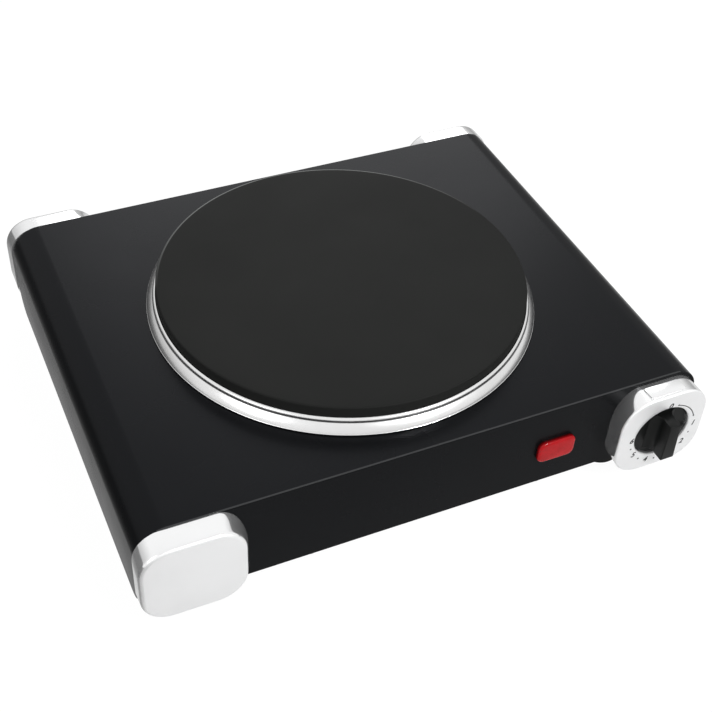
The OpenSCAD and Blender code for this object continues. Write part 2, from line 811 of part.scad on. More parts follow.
// Knob: disc, pointed bar grip with scooped flanks, hub with a socket for the shaft
module knob() {
    at_knob() color([0.1, 0.1, 0.105]) difference() {
        union() {
            translate([0, 0, disc_back]) cylinder(r = knob_r, h = knob_disc_t);
            translate([0, 0, hub_back]) cylinder(r = hub_r, h = disc_back - hub_back + weld);
            translate([0, 0, disc_front - weld]) linear_extrude(knob_front - disc_front + weld)
                polygon([[-grip_tail_w / 2, -grip_l / 2], [grip_tail_w / 2, -grip_l / 2],
                    [grip_point_w / 2, grip_l / 2], [-grip_point_w / 2, grip_l / 2]]);
            difference() {
                translate([-grip_point_w / 2 - scoop_r, -grip_l / 2, disc_front - weld])
                    cube([grip_point_w + 2 * scoop_r, grip_l, scoop_r + weld]);
                for (s = [-1, 1]) translate([s * (grip_point_w / 2 + scoop_r), 0, disc_front + scoop_r])
                    rotate([90, 0, 0]) cylinder(r = scoop_r, h = grip_l + 2 * cut, center = true);
            }
        }
        translate([0, 0, hub_back - cut]) linear_extrude(socket_end - hub_back + cut)
            shaft_end(shaft_r + shaft_gap, flat_cut);
    }
}

module regulator_shaft() {
    at_knob() color([0.62, 0.62, 0.64]) {
        translate([0, 0, shaft_back]) cylinder(r = shaft_r, h = hub_back - 0.4 - shaft_back);
        translate([0, 0, hub_back - 0.5]) linear_extrude(socket_end - hub_back) shaft_end(shaft_r, flat_cut);
        translate([0, 0, shaft_back - pivot_l]) cylinder(r = pivot_r, h = pivot_l + 0.1);
    }
}

module regulator_cam() {
    at_knob() color([0.9, 0.88, 0.8]) translate([0, 0, cam_front - cam_t]) difference() {
        union() {
            cylinder(r = cam_r, h = cam_t);
            translate([0, cam_lobe, 0]) cylinder(r = cam_r, h = cam_t);
        }
        translate([0, 0, -cut]) cylinder(r = shaft_r + shaft_gap, h = cam_t + 2 * cut);
    }
}

module regulator_plate() {
    at_knob() color([0.7, 0.7, 0.68]) translate([0, 0, reg_plate_back]) difference() {
        linear_extrude(reg_plate_t) rounded_rect(2 * reg_screw_x + 8, 20, 2);
        translate([0, 0, -cut]) cylinder(r = bush_r + 0.2, h = reg_plate_t + 2 * cut);
        for (s = [-1, 1]) translate([s * reg_screw_x, 0, -cut])
            cylinder(r = screw_r + 0.05, h = reg_plate_t + 2 * cut);
    }
}

// Regulator case: box open at the back, with the bush that carries the shaft
module regulator_case() {
    at_knob() color([0.28, 0.2, 0.14]) difference() {
        union() {
            translate([0, 0, reg_back]) difference() {
                linear_extrude(reg_d) rounded_rect(reg_w, reg_w, 2);
                translate([0, 0, -cut]) linear_extrude(reg_d - reg_front_t + cut)
                    rounded_rect(reg_w - 2 * reg_wall, reg_w - 2 * reg_wall, 1);
            }
            translate([0, 0, bush_back]) cylinder(r = bush_r, h = bush_front - bush_back);
        }
        translate([0, 0, bush_back - cut]) cylinder(r = shaft_r + shaft_gap, h = bush_front - bush_back + 2 * cut);
    }
}

module tab_places() {
    for (sx = [-1, 1], sy = [-1, 1]) translate([sx * tab_x, sy * tab_y, 0]) children();
}

module regulator_cover() {
    at_knob() color([0.3, 0.22, 0.16]) difference() {
        union() {
            translate([0, 0, reg_back - reg_cover_t]) linear_extrude(reg_cover_t) rounded_rect(reg_w, reg_w, 2);
            translate([0, 0, reg_back - 0.5]) cylinder(r = pivot_r + 2, h = 1.2);
        }
        translate([0, 0, reg_back - 1.6]) cylinder(r = pivot_r + shaft_gap, h = 4);
        tab_places() translate([0, 0, reg_back - reg_cover_t - cut]) linear_extrude(reg_cover_t + 2 * cut)
            square([tab_t + 2 * tab_gap, tab_w + 2 * tab_gap], center = true);
    }
}

// Two spring leaves that the cam works, wedged between the walls of the regulator case
module contact_leaves() {
    at_knob() color([0.8, 0.6, 0.3]) for (s = [-1, 1]) {
        translate([s * leaf_x - leaf_t / 2, -reg_w / 2 + reg_wall, cam_front - leaf_w])
            cube([leaf_t, reg_w - 2 * reg_wall, leaf_w]);
        translate([s * (leaf_x - leaf_t / 2), 0, cam_front - leaf_w]) cylinder(r = 1.1, h = leaf_w);
    }
}

module regulator_terminals() {
    at_knob() color([0.8, 0.78, 0.7]) tab_places()
        translate([-tab_t / 2, -tab_w / 2, reg_back - reg_cover_t - tab_out])
            cube([tab_t, tab_w, tab_out + reg_cover_t + cam_front - leaf_w - reg_back]);
}

module regulator_screws() {
    at_knob() color([0.5, 0.5, 0.52]) for (s = [-1, 1]) translate([s * reg_screw_x, 0, floor_front])
        pan_screw(floor_front + sheet_t + reg_plate_t - 0.1, head = reg_screw_head_r);
}

module lamp_lens() {
    at_lamp() color([0.75, 0.06, 0.1]) difference() {
        union() {
            rounded_block(lens_w, lens_h, lens_r, lens_out, lens_edge);
            translate([0, 0, -lamp_body_d]) linear_extrude(lamp_body_d + weld)
                rounded_rect(lens_body_w, lens_body_h, lens_lip);
        }
        translate([0, 0, -lamp_body_d - cut]) linear_extrude(lamp_body_d + cut)
            rounded_rect(lens_body_w - 2 * lens_wall, lens_body_h - 2 * lens_wall, lens_lip - lens_wall / 2);
    }
}

module lamp_holder() {
    at_lamp() color([0.12, 0.12, 0.12]) translate([0, 0, -sheet_t - holder_d]) linear_extrude(holder_d)
        difference() {
            rounded_rect(lens_body_w + 2 * holder_t, lens_body_h + 2 * holder_t, 2);
            rounded_rect(lens_body_w + 2 * lamp_gap, lens_body_h + 2 * lamp_gap, lens_lip);
        }
}

module lamp_base() {
    at_lamp() color([0.85, 0.85, 0.82]) translate([0, 0, -lamp_body_d - lamp_base_t])
        linear_extrude(lamp_base_t) rounded_rect(lens_body_w, lens_body_h, lens_lip);
}

module neon_bulb() {
    at_lamp() color([0.95, 0.75, 0.6]) translate([0, 0, -lamp_body_d]) {
        cylinder(r = bulb_r, h = bulb_l - bulb_r);
        translate([0, 0, bulb_l - bulb_r]) sphere(bulb_r);
    }
}

module cord_gland() {
    at_gland() color([0.11, 0.11, 0.11]) difference() {
        union() {
            cylinder(r = gland_flange_r, h = gland_flange_t);
            translate([0, 0, gland_flange_t])
                cylinder(r1 = gland_flange_r - 1.4, r2 = gland_thread_r - 0.6, h = gland_out - gland_flange_t);
            translate([0, 0, -gland_in]) cylinder(r = gland_thread_r, h = gland_in + weld);
        }
        translate([0, 0, -gland_in - cut]) cylinder(d = cord_bore_d, h = gland_in + gland_out + 2 * cut);
    }
}

module gland_nut() {
    at_gland() color([0.14, 0.14, 0.14]) translate([0, 0, -sheet_t - gland_nut_t]) difference() {
        cylinder(r = gland_nut_r, h = gland_nut_t, $fn = 6);
        translate([0, 0, -cut]) cylinder(r = gland_thread_r + 0.05, h = gland_nut_t + 2 * cut);
    }
}

module pole_places() {
    for (i = [-1, 0, 1]) translate([gland_x + i * pole_pitch, block_y, 0]) children();
}

// Three-pole block; each pole has a wire hole along Y and a clamp screw from above
module terminal_block() {
    in_case() color([0.9, 0.89, 0.84]) difference() {
        translate([gland_x, block_y, base_z]) linear_extrude(block_h) rounded_rect(block_w, block_d, 1.5);
        pole_places() {
            translate([0, 0, pole_z]) rotate([90, 0, 0])
                cylinder(r = pole_hole_r, h = block_d + 2 * cut, center = true);
            translate([0, 0, pole_z]) cylinder(r = pole_screw_r + pole_screw_gap, h = block_h);
        }
        block_screw_places() translate([0, 0, -cut]) cylinder(r = screw_r + 0.05, h = 6 + cut);
    }
}

module terminal_screws() {
    in_case() color([0.8, 0.68, 0.35]) pole_places()
        translate([0, 0, pole_z + lead_r + 0.05]) cylinder(r = pole_screw_r, h = base_z + block_h - pole_z - lead_r - 1);
}

module block_screws() {
    in_case() color([0.5, 0.5, 0.52]) block_screw_places()
        translate([0, 0, -sheet_t]) mirror([0, 0, 1]) pan_screw(sheet_t + screw_bite);
}

function unit(v) = v / norm(v);

// Route with each inner corner of p replaced by a short curve
function corner_reach(p, i) = min(lead_bend, 0.4 * norm(p[i] - p[i - 1]), 0.4 * norm(p[i + 1] - p[i]));
function corner_point(p, i, reach, u) =
    let (a = p[i] + reach * unit(p[i - 1] - p[i]), c = p[i] + reach * unit(p[i + 1] - p[i]))
    (1 - u) * (1 - u) * a + 2 * u * (1 - u) * p[i] + u * u * c;
function rounded_path(p) = concat([p[0]],
    [for (i = [1 : len(p) - 2], u = [0 : 1 / lead_steps : 1]) corner_point(p, i, corner_reach(p, i), u)],
    [p[len(p) - 1]]);

// Direction of the route at point i, and a side vector carried along it without twisting
function tangent(p, i) = unit(p[min(i + 1, len(p) - 1)] - p[max(i - 1, 0)]);
function side_vectors(p, i, side) = i == len(p) ? [] :
    let (t = tangent(p, i), turned = unit(side - (side * t) * t))
    concat([turned], side_vectors(p, i + 1, turned));

// Insulated lead swept along a list of points as one closed skin
module lead(points, r) {
    path = rounded_path(points);
    last = len(path) - 1;
    sides = side_vectors(path, 0, unit([0.31, 0.47, 0.83]));
    skin = [for (i = [0 : last], k = [0 : lead_sides - 1])
        let (a = 360 * k / lead_sides, up = cross(tangent(path, i), sides[i]))
        path[i] + r * (cos(a) * sides[i] + sin(a) * up)];
    walls = [for (i = [0 : last - 1], k = [0 : lead_sides - 1], half = [0, 1])
        let (next = (k + 1) % lead_sides, low = i * lead_sides, high = low + lead_sides)
        half == 0 ? [low + k, high + k, high + next] : [low + k, high + next, low + next]];
    start_face = [for (k = [0 : lead_sides - 1]) k];
    end_face = [for (k = [lead_sides - 1 : -1 : 0]) last * lead_sides + k];
    polyhedron(skin, concat([start_face, end_face], walls));
}

function tab_point(sx, sy, back) = [knob_x + sx * tab_x, tab_end_y + back, knob_z + sy * tab_y];
function pole_point(i, out) = [gland_x + i * pole_pitch, block_front - out, pole_z];
function pin_point(i, down) =
    [groove_first_r * cos(pin_angles[i]), groove_first_r * sin(pin_angles[i]), pin_end_z - down];

module live_lead() {
    in_case() color([0.45, 0.28, 0.15]) lead([pole_point(1, -block_d + 3), pole_point(1, 4),
        [shield_side + 9, shield_d / 3, pole_z + 2], [knob_x - 7, 0, pole_z + 2],
        tab_point(-1, -1, 12), tab_point(-1, -1, 0)], lead_r);
}

module neutral_lead() {
    in_case() color([0.2, 0.35, 0.65]) lead([pole_point(0, -block_d + 3), pole_point(0, 5),
        [shield_side + 4, shield_d / 2 + 2, shield_top_z - 2], [shield_side + 4, -20, shield_top_z + 5],
        pin_point(1, 10) + [46, -9, 0], pin_point(1, 8), pin_point(1, 0)], lead_r);
}

module heater_lead() {
    in_case() color([0.6, 0.15, 0.12]) lead([tab_point(-1, 1, 0), tab_point(-1, 1, 12),
        [shield_side, -50, shield_top_z + 10], pin_point(0, 8) + [14, -8, 0], pin_point(0, 6), pin_point(0, 0)],
        lead_r);
}

module lamp_leads() {
    lamp_back = front_y + lamp_body_d + lamp_base_t;
    in_case() color([0.75, 0.75, 0.7]) {
        lead([[lamp_x - 4, lamp_back, lamp_z], [lamp_x - 4, lamp_back + 8, lamp_z],
            [shield_side + 5, tab_end_y + 8, knob_z - 1], [knob_x, tab_end_y + 14, knob_z],
            tab_point(1, 1, 8), tab_point(1, 1, 0)], lamp_lead_r);
        lead([[lamp_x + 4, lamp_back, lamp_z], [lamp_x + 4, lamp_back + 6, lamp_z],
            [shield_side + 8, tab_end_y + 10, base_z + 6], [knob_x + 6, tab_end_y + 14, base_z + 8],
            tab_point(1, -1, 8), tab_point(1, -1, 0)], lamp_lead_r);
    }
}

module earth_lead() {
    in_case() color([0.35, 0.5, 0.15]) lead([pole_point(-1, -block_d + 3), pole_point(-1, 6),
        [shield_side + 2, block_front - 9, base_z + lead_r + 1], [earth_at.x, earth_at.y - 12, earth_tag_z],
        [earth_at.x, earth_at.y - 3, earth_tag_z]], lead_r);
}

module earth_screw() {
    in_case() color([0.78, 0.68, 0.4]) translate([earth_at.x, earth_at.y, base_z]) {
        translate([0, 0, -sheet_t]) mirror([0, 0, 1]) pan_screw(sheet_t + earth_bite);
        cylinder(r = 3, h = earth_tag_z - base_z + lead_r);
    }
}

top_cover();
front_panel();
rear_panel();
bottom_plate();
base_screws();
foot_front_left();
foot_front_right();
foot_rear_left();
foot_rear_right();
cap_front_left();
cap_rear_left();
cap_rear_right();
cap_screws();
hot_plate();
heating_coils();
coil_filler();
plate_cover();
pin_insulators();
heater_pins();
spill_ring();
centre_stud();
mounting_bridge();
stud_washer();
stud_nut();
thermal_cutout();
cutout_strap();
heat_shield();
shield_screws();
knob_housing();
knob();
regulator_shaft();
regulator_cam();
regulator_plate();
regulator_case();
regulator_cover();
contact_leaves();
regulator_terminals();
regulator_screws();
lamp_lens();
lamp_holder();
lamp_base();
neon_bulb();
cord_gland();
gland_nut();
terminal_block();
terminal_screws();
block_screws();
live_lead();
neutral_lead();
heater_lead();
lamp_leads();
earth_lead();
earth_screw();
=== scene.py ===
import json
import math
import bmesh
import bpy
from mathutils import Matrix, Vector


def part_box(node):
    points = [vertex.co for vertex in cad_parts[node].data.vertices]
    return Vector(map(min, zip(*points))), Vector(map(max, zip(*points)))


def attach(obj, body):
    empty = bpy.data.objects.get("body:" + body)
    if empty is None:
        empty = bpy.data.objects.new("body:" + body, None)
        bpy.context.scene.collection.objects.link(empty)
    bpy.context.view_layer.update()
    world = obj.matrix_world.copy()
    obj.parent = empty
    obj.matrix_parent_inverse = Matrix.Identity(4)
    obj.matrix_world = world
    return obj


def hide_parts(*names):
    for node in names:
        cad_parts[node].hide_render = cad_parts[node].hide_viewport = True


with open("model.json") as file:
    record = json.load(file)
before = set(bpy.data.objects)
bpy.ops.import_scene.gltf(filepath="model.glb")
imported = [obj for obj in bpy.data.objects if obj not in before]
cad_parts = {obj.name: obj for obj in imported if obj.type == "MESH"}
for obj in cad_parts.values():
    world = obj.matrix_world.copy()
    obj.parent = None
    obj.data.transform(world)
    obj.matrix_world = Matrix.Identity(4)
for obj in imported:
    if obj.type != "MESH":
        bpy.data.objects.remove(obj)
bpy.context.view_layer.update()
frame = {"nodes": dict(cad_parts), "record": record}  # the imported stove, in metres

mm = 0.001
weldReach = 0.002 * mm  # points nearer than this become one
grainDepth = 0.1 * mm
scene = bpy.context.scene
finishes = {}
print("stove loaded with", len(frame["nodes"]), "nodes")

# Main places, read off the frame
caseLow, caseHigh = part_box("top_cover")
plateLow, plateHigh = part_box("hot_plate")
plateAxis = (plateLow + plateHigh) / 2
frontY, rearY, topZ = caseLow.y, caseHigh.y, caseHigh.z


def middleOf(node):
    low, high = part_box(node)
    return (low + high) / 2


def newFinish(slot):
    material = bpy.data.materials.new(slot)
    material.use_nodes = True
    finishes[slot] = material
    tree = material.node_tree
    place = tree.nodes.new("ShaderNodeTexCoord").outputs["Object"]
    return tree, tree.nodes["Principled BSDF"], place


def noise(tree, place, scale, detail=3.0):
    node = tree.nodes.new("ShaderNodeTexNoise")
    node.inputs["Scale"].default_value = scale
    node.inputs["Detail"].default_value = detail
    tree.links.new(place, node.inputs["Vector"])
    return node.outputs["Fac"]


def spread(tree, value, low, high, start=0.3, end=0.7):
    node = tree.nodes.new("ShaderNodeMapRange")
    node.inputs["From Min"].default_value = start
    node.inputs["From Max"].default_value = end
    node.inputs["To Min"].default_value = low
    node.inputs["To Max"].default_value = high
    tree.links.new(value, node.inputs["Value"])
    return node.outputs["Result"]


def blendColours(tree, value, first, second, stops=(0.32, 0.68)):
    node = tree.nodes.new("ShaderNodeValToRGB")
    for element, stop, colour in zip(node.color_ramp.elements, stops, (first, second)):
        element.position = stop
        element.color = (*colour, 1)
    tree.links.new(value, node.inputs["Fac"])
    return node.outputs["Color"]


def choose(tree, factor, off, on):
    # off where the factor is 0 and on where it is 1; each is a number or a socket
    node = tree.nodes.new("ShaderNodeMix")
    tree.links.new(factor, node.inputs[0])
    for value, socket in ((off, node.inputs[2]), (on, node.inputs[3])):
        if isinstance(value, (int, float)):
            socket.default_value = value
        else:
            tree.links.new(value, socket)
    return node.outputs[0]


def relief(tree, shader, height, strength, depth, under=None):
    node = tree.nodes.new("ShaderNodeBump")
    node.inputs["Strength"].default_value = strength
    node.inputs["Distance"].default_value = depth
    tree.links.new(height, node.inputs["Height"])
    if under:
        tree.links.new(under, node.inputs["Normal"])
    tree.links.new(node.outputs["Normal"], shader.inputs["Normal"])


def overColour(tree, shader, factor, colour):
    # Lays a plain colour over the shader's own where the factor is 1
    node = tree.nodes.new("ShaderNodeMix")
    node.data_type = "RGBA"
    first, second = [socket for socket in node.inputs if socket.type == "RGBA"]
    base = shader.inputs["Base Color"]
    tree.links.new(factor, node.inputs[0])
    tree.links.new(base.links[0].from_socket, first)
    second.default_value = (*colour, 1)
    tree.links.new([socket for socket in node.outputs if socket.type == "RGBA"][0], base)


def coordinate(tree, place, axis):
    node = tree.nodes.new("ShaderNodeSeparateXYZ")
    tree.links.new(place, node.inputs[0])
    return node.outputs[axis]


def axisDistance(tree, place, axis):
    # Distance from an upright axis, for turned marks and for the floor's light
    shift = tree.nodes.new("ShaderNodeVectorMath")
    shift.operation = "SUBTRACT"
    shift.inputs[1].default_value = axis
    flat = tree.nodes.new("ShaderNodeVectorMath")
    flat.operation = "MULTIPLY"
    flat.inputs[1].default_value = (1, 1, 0)
    length = tree.nodes.new("ShaderNodeVectorMath")
    length.operation = "LENGTH"
    tree.links.new(place, shift.inputs[0])
    tree.links.new(shift.outputs[0], flat.inputs[0])
    tree.links.new(flat.outputs[0], length.inputs[0])
    return length.outputs["Value"]


def mottled(slot, look, glossShare=2.7):
    # Clouded colour, uneven gloss and a fine grain; the gloss varies more closely than the colour
    tree, shader, place = newFinish(slot)
    clouds = noise(tree, place, look["cloudScale"], detail=4)
    tree.links.new(blendColours(tree, clouds, look["dark"], look["light"]), shader.inputs["Base Color"])
    gloss = noise(tree, place, look["cloudScale"] * glossShare)
    tree.links.new(spread(tree, gloss, *look["roughness"]), shader.inputs["Roughness"])
    shader.inputs["Metallic"].default_value = look.get("metallic", 0)
    shader.inputs["Specular IOR Level"].default_value = look.get("specular", 0.5)
    relief(tree, shader, noise(tree, place, look["grainScale"]), look["grain"], grainDepth)
    return tree, shader, place


def blackEnamel():
    look = {
        "dark": (0.0034, 0.0036, 0.0041),
        "light": (0.0042, 0.0045, 0.005),
        "cloudScale": 9,
        "roughness": (0.25, 0.29),
        "specular": 0.095,
        "panelSpecular": 0.06,  # the front panel's coat is duller
        "sheen": (0.88, 0.91, 1, 1),  # colour of its gloss
        "grainScale": 1500,  # orange peel of the baked coat
        "grain": 0.1,
        "edge": (0.036, 0.037, 0.038),  # painted highlight along the top sheet's front edge, where its rounded edge catches the light
        "paintedHighlightDepth": 0.4 * mm,
        "edgeHeight": 0.45 * mm,
        "paintedHighlightFade": (1.5, 1.3),  # where the painted highlight ends, in shares of its depth and height
    }
    panelShader = mottled("panel_enamel", {**look, "specular": look["panelSpecular"]})[1]
    panelShader.inputs["Specular Tint"].default_value = look["sheen"]
    tree, shader, place = mottled("case_enamel", look)
    depth, height = look["paintedHighlightDepth"], look["edgeHeight"]
    depthFade, heightFade = look["paintedHighlightFade"]
    # Painted highlight: the top sheet's front edge is made lighter where its round would catch the light
    front = spread(tree, coordinate(tree, place, "Y"), 1, 0, frontY + depth, frontY + depthFade * depth)
    upper = spread(tree, coordinate(tree, place, "Z"), 0, 1, topZ - heightFade * height, topZ - height)
    overColour(tree, shader, choose(tree, front, 0, upper), look["edge"])
    shader.inputs["Specular Tint"].default_value = look["sheen"]


def coatedIron():
    look = {
        "dark": (0.0118, 0.0122, 0.0117),
        "light": (0.0132, 0.0136, 0.0131),
        "cloudScale": 14,
        "roughness": (0.52, 0.56),
        "specular": 0.055,
        "grainScale": 1900,
        "grain": 0.3,
        "turnPitch": 1.1 * mm,  # spacing of the turning marks
        "turnStrength": 0.12,
        "turnDepth": 0.02 * mm,
        "rim": (0.15, 0.154, 0.152),  # painted highlight along the rear of the rim, where its edge catches the back light
        "rimHighlightWidth": 1.1 * mm,
        "rimDepth": 0.7 * mm,
        "rimHighlightFade": (1.15, 1.2),  # where the painted highlight ends, in shares of its width and depth
        "rimHighlightRear": (0.25, 0.9),  # where it starts and is full, in radii behind the middle
    }
    tree, shader, place = mottled("cast_iron", look)
    radius = axisDistance(tree, place, plateAxis)
    turns = tree.nodes.new("ShaderNodeMath")
    turns.operation = "MULTIPLY"
    turns.inputs[1].default_value = 2 * math.pi / look["turnPitch"]
    marks = tree.nodes.new("ShaderNodeMath")
    marks.operation = "SINE"
    tree.links.new(radius, turns.inputs[0])
    tree.links.new(turns.outputs[0], marks.inputs[0])
    grain = shader.inputs["Normal"].links[0].from_socket
    relief(tree, shader, marks.outputs[0], look["turnStrength"], look["turnDepth"], under=grain)
    full = (plateHigh.x - plateLow.x) / 2
    width, depth = look["rimHighlightWidth"], look["rimDepth"]
    widthFade, depthFade = look["rimHighlightFade"]
    start, whole = [plateAxis.y + share * full for share in look["rimHighlightRear"]]
    top = plateHigh.z
    # Painted highlight: the rear of the plate's rim is made lighter where its edge would catch the back
    # light
    rim = spread(tree, radius, 0, 1, full - widthFade * width, full - width)
    upper = spread(tree, coordinate(tree, place, "Z"), 0, 1, top - depthFade * depth, top - depth)
    rear = spread(tree, coordinate(tree, place, "Y"), 0, 1, start, whole)
    overColour(tree, shader, choose(tree, rim, 0, choose(tree, upper, 0, rear)), look["rim"])


def turnedSteel():
    look = {
        "dark": (0.75, 0.748, 0.744),
        "light": (0.84, 0.84, 0.84),
        "cloudScale": 22,
        "roughness": (0.2, 0.27),
        "metallic": 1,
        "grainScale": 900,
        "grain": 0.03,
        "lineScale": 5200,  # fine lines left by spinning
        "lineStrength": 0.05,
        "lineDepth": 0.05 * mm,
    }
    tree, shader, place = mottled("ring_steel", look)
    radius = axisDistance(tree, place, plateAxis)
    lines = tree.nodes.new("ShaderNodeTexNoise")
    lines.noise_dimensions = "1D"
    lines.inputs["Scale"].default_value = look["lineScale"]
    tree.links.new(radius, lines.inputs["W"])
    grain = shader.inputs["Normal"].links[0].from_socket
    relief(tree, shader, lines.outputs["Fac"], look["lineStrength"], look["lineDepth"], under=grain)


def capChrome():
    look = {
        "dark": (0.86, 0.862, 0.866),
        "light": (0.9, 0.902, 0.906),
        "cloudScale": 30,
        "roughness": (0.11, 0.15),
        "metallic": 0.88,
        "faceRoughness": 0.4,  # the outer faces are brushed to a satin gloss
        "faceMetallic": 0.66,
        "faceDepth": 1 * mm,
        "faceFade": 1.6,  # where the satin ends, in shares of its depth
        "grainScale": 900,
        "grain": 0.012,
    }
    tree, shader, place = mottled("cap_chrome", look)
    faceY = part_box("cap_front_left")[0].y
    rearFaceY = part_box("cap_rear_left")[1].y
    reach, fade = look["faceDepth"], look["faceFade"]
    spot = coordinate(tree, place, "Y")
    rear = spread(tree, spot, 0, 1, rearFaceY - fade * reach, rearFaceY - reach)
    front = spread(tree, spot, 1, 0, faceY + reach, faceY + fade * reach)
    either = choose(tree, front, rear, 1)
    gloss = shader.inputs["Roughness"].links[0].from_socket
    tree.links.new(choose(tree, either, gloss, look["faceRoughness"]), shader.inputs["Roughness"])
    tree.links.new(choose(tree, either, look["metallic"], look["faceMetallic"]), shader.inputs["Metallic"])


def plainFinishes():
    keys = ("dark", "light", "roughness", "metallic", "grainScale", "grain")
    shared = {"cloudScale": 30}
    dull = {"slots": ("knob_plastic", "black_plastic", "foot_rubber"), "specular": 0.15}
    looks = {
        "plain_steel": ((0.5, 0.51, 0.52), (0.66, 0.67, 0.68), (0.28, 0.4), 1, 1300, 0.1),
        "knob_plastic": ((0.0038, 0.0042, 0.0041), (0.0052, 0.0056, 0.0054), (0.32, 0.4), 0, 2600, 0.14),
        "black_plastic": ((0.012, 0.012, 0.013), (0.018, 0.018, 0.019), (0.45, 0.55), 0, 2000, 0.2),
        "foot_rubber": ((0.012, 0.012, 0.012), (0.02, 0.02, 0.02), (0.65, 0.8), 0, 1600, 0.3),
        "screw_steel": ((0.42, 0.42, 0.43), (0.58, 0.57, 0.55), (0.25, 0.38), 1, 1700, 0.08),
        "ceramic": ((0.78, 0.76, 0.7), (0.88, 0.87, 0.82), (0.6, 0.75), 0, 1500, 0.25),
        "heating_wire": ((0.2, 0.17, 0.15), (0.4, 0.36, 0.32), (0.5, 0.7), 1, 2400, 0.4),
        "shield_aluminium": ((0.7, 0.71, 0.72), (0.8, 0.81, 0.82), (0.3, 0.42), 1, 1200, 0.1),
        "phenolic": ((0.09, 0.05, 0.03), (0.15, 0.09, 0.055), (0.4, 0.55), 0, 1400, 0.2),
        "brass": ((0.62, 0.45, 0.18), (0.78, 0.6, 0.28), (0.25, 0.4), 1, 1500, 0.1),
        "lead_brown": ((0.11, 0.05, 0.022), (0.15, 0.07, 0.03), (0.45, 0.6), 0, 1800, 0.15),
        "lead_blue": ((0.03, 0.08, 0.25), (0.05, 0.11, 0.33), (0.45, 0.6), 0, 1800, 0.15),
        "lead_red": ((0.3, 0.02, 0.015), (0.4, 0.035, 0.025), (0.45, 0.6), 0, 1800, 0.15),
        "lead_white": ((0.6, 0.6, 0.56), (0.72, 0.72, 0.68), (0.45, 0.6), 0, 1800, 0.15),
        "lead_green": ((0.12, 0.25, 0.03), (0.2, 0.34, 0.05), (0.45, 0.6), 0, 1800, 0.15),
    }
    for slot, values in looks.items():
        look = {**shared, **dict(zip(keys, values))}
        if slot in dull["slots"]:
            look["specular"] = dull["specular"]
        mottled(slot, look)


def redLens():
    look = {
        "dark": (0.28, 0.003, 0.005),
        "light": (0.35, 0.005, 0.008),
        "foot": (0.035, 0.0006, 0.001),  # painted shade: the lens darkens towards where it meets the panel
        "fade": (1.9 * mm, 0.4 * mm),  # the painted shade fades in between these distances from the panel
        "index": 1.49,
        "cloudScale": 160,
        "roughness": (0.07, 0.1),
        "specular": 0.19,
        "grainScale": 1200,
        "grain": 0.02,
    }
    tree, shader, place = mottled("lens_red", look)
    start, end = look["fade"]
    fade = spread(tree, coordinate(tree, place, "Y"), 0, 1, frontY - start, frontY - end)
    # Painted shade: the lens's sides are darkened towards the panel
    overColour(tree, shader, fade, look["foot"])
    shader.inputs["IOR"].default_value = look["index"]


def bulbGlass():
    look = {
        "dark": (0.8, 0.62, 0.5),
        "light": (0.92, 0.8, 0.7),
        "cloudScale": 200,
        "roughness": (0.03, 0.08),
        "transmission": 0.8,
        "grainScale": 900,
        "grain": 0.02,
    }
    shader = mottled("bulb_glass", look)[1]
    shader.inputs["Transmission Weight"].default_value = look["transmission"]


def addPiece(name, mesh, slot, replaces=(), body="stove", sharp=32):
    piece = bpy.data.objects.new(name, mesh)
    scene.collection.objects.link(piece)
    mesh.materials.clear()
    mesh.materials.append(finishes[slot])
    mesh.shade_smooth()
    mesh.set_sharp_from_angle(angle=math.radians(sharp))
    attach(piece, body)
    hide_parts(*replaces)
    return piece


def closedMesh(name, points, faces):
    mesh = bpy.data.meshes.new(name)
    mesh.from_pydata([tuple(point) for point in points], [], faces)
    shape = bmesh.new()
    shape.from_mesh(mesh)
    bmesh.ops.remove_doubles(shape, verts=shape.verts, dist=weldReach)
    loose = [edge for edge in shape.edges if not edge.link_faces]
    bmesh.ops.delete(shape, geom=loose, context="EDGES")
    bmesh.ops.recalc_face_normals(shape, faces=shape.faces)
    shape.to_mesh(mesh)
    shape.free()
    return mesh


def arc(centre, radius, start, end, steps):
    # Points on an arc, in degrees; radius may be a pair for an ellipse
    across, up = radius if isinstance(radius, tuple) else (radius, radius)
    turns = [math.radians(start + (end - start) * step / steps) for step in range(steps + 1)]
    return [(centre[0] + across * math.cos(turn), centre[1] + up * math.sin(turn)) for turn in turns]


def roundedEdge(radius, turns):
    # How far a rounded edge stands in and down at each turn, which is in degrees
    angles = [math.radians(turn) for turn in turns]
    return [(radius * (1 - math.cos(angle)), radius * (1 - math.sin(angle))) for angle in angles]


def lathe(name, section, place, steps):
    # Turns a closed section of (radius, height) round an axis; place puts (a, b, height) in the frame
    count = len(section)
    points = []
    for step in range(steps):
        turn = 2 * math.pi * step / steps
        a, b = math.cos(turn), math.sin(turn)
        points += [place(radius * a, radius * b, height) for radius, height in section]
    faces = []
    for step in range(steps):
        here = step * count
        there = (step + 1) % steps * count
        for k in range(count):
            after = (k + 1) % count
            faces.append((here + k, there + k, there + after, here + after))
    return closedMesh(name, points, faces)


def outline(middle, size, corners, cornerSteps=14, sideSteps=6):
    # Rounded rectangle from its upper right corner round to the lower right; each corner is a
    # radius or a pair of radii, across and up
    arcs = []
    for index, (sx, sy) in enumerate(((1, 1), (-1, 1), (-1, -1), (1, -1))):
        corner = corners[index]
        across, up = corner if isinstance(corner, tuple) else (corner, corner)
        pivot = (middle[0] + sx * (size[0] / 2 - across), middle[1] + sy * (size[1] / 2 - up))
        arcs.append(arc(pivot, (across, up), 90 * index, 90 * index + 90, cornerSteps))
    points = []
    for index, bend in enumerate(arcs):
        points += bend
        after = arcs[(index + 1) % 4][0]
        for step in range(1, sideSteps):
            share = step / sideSteps
            points.append(tuple(bend[-1][i] + (after[i] - bend[-1][i]) * share for i in (0, 1)))
    return points


def betweenRings(first, last, share):
    return [tuple(a + (b - a) * share for a, b in zip(p, q)) for p, q in zip(first, last)]


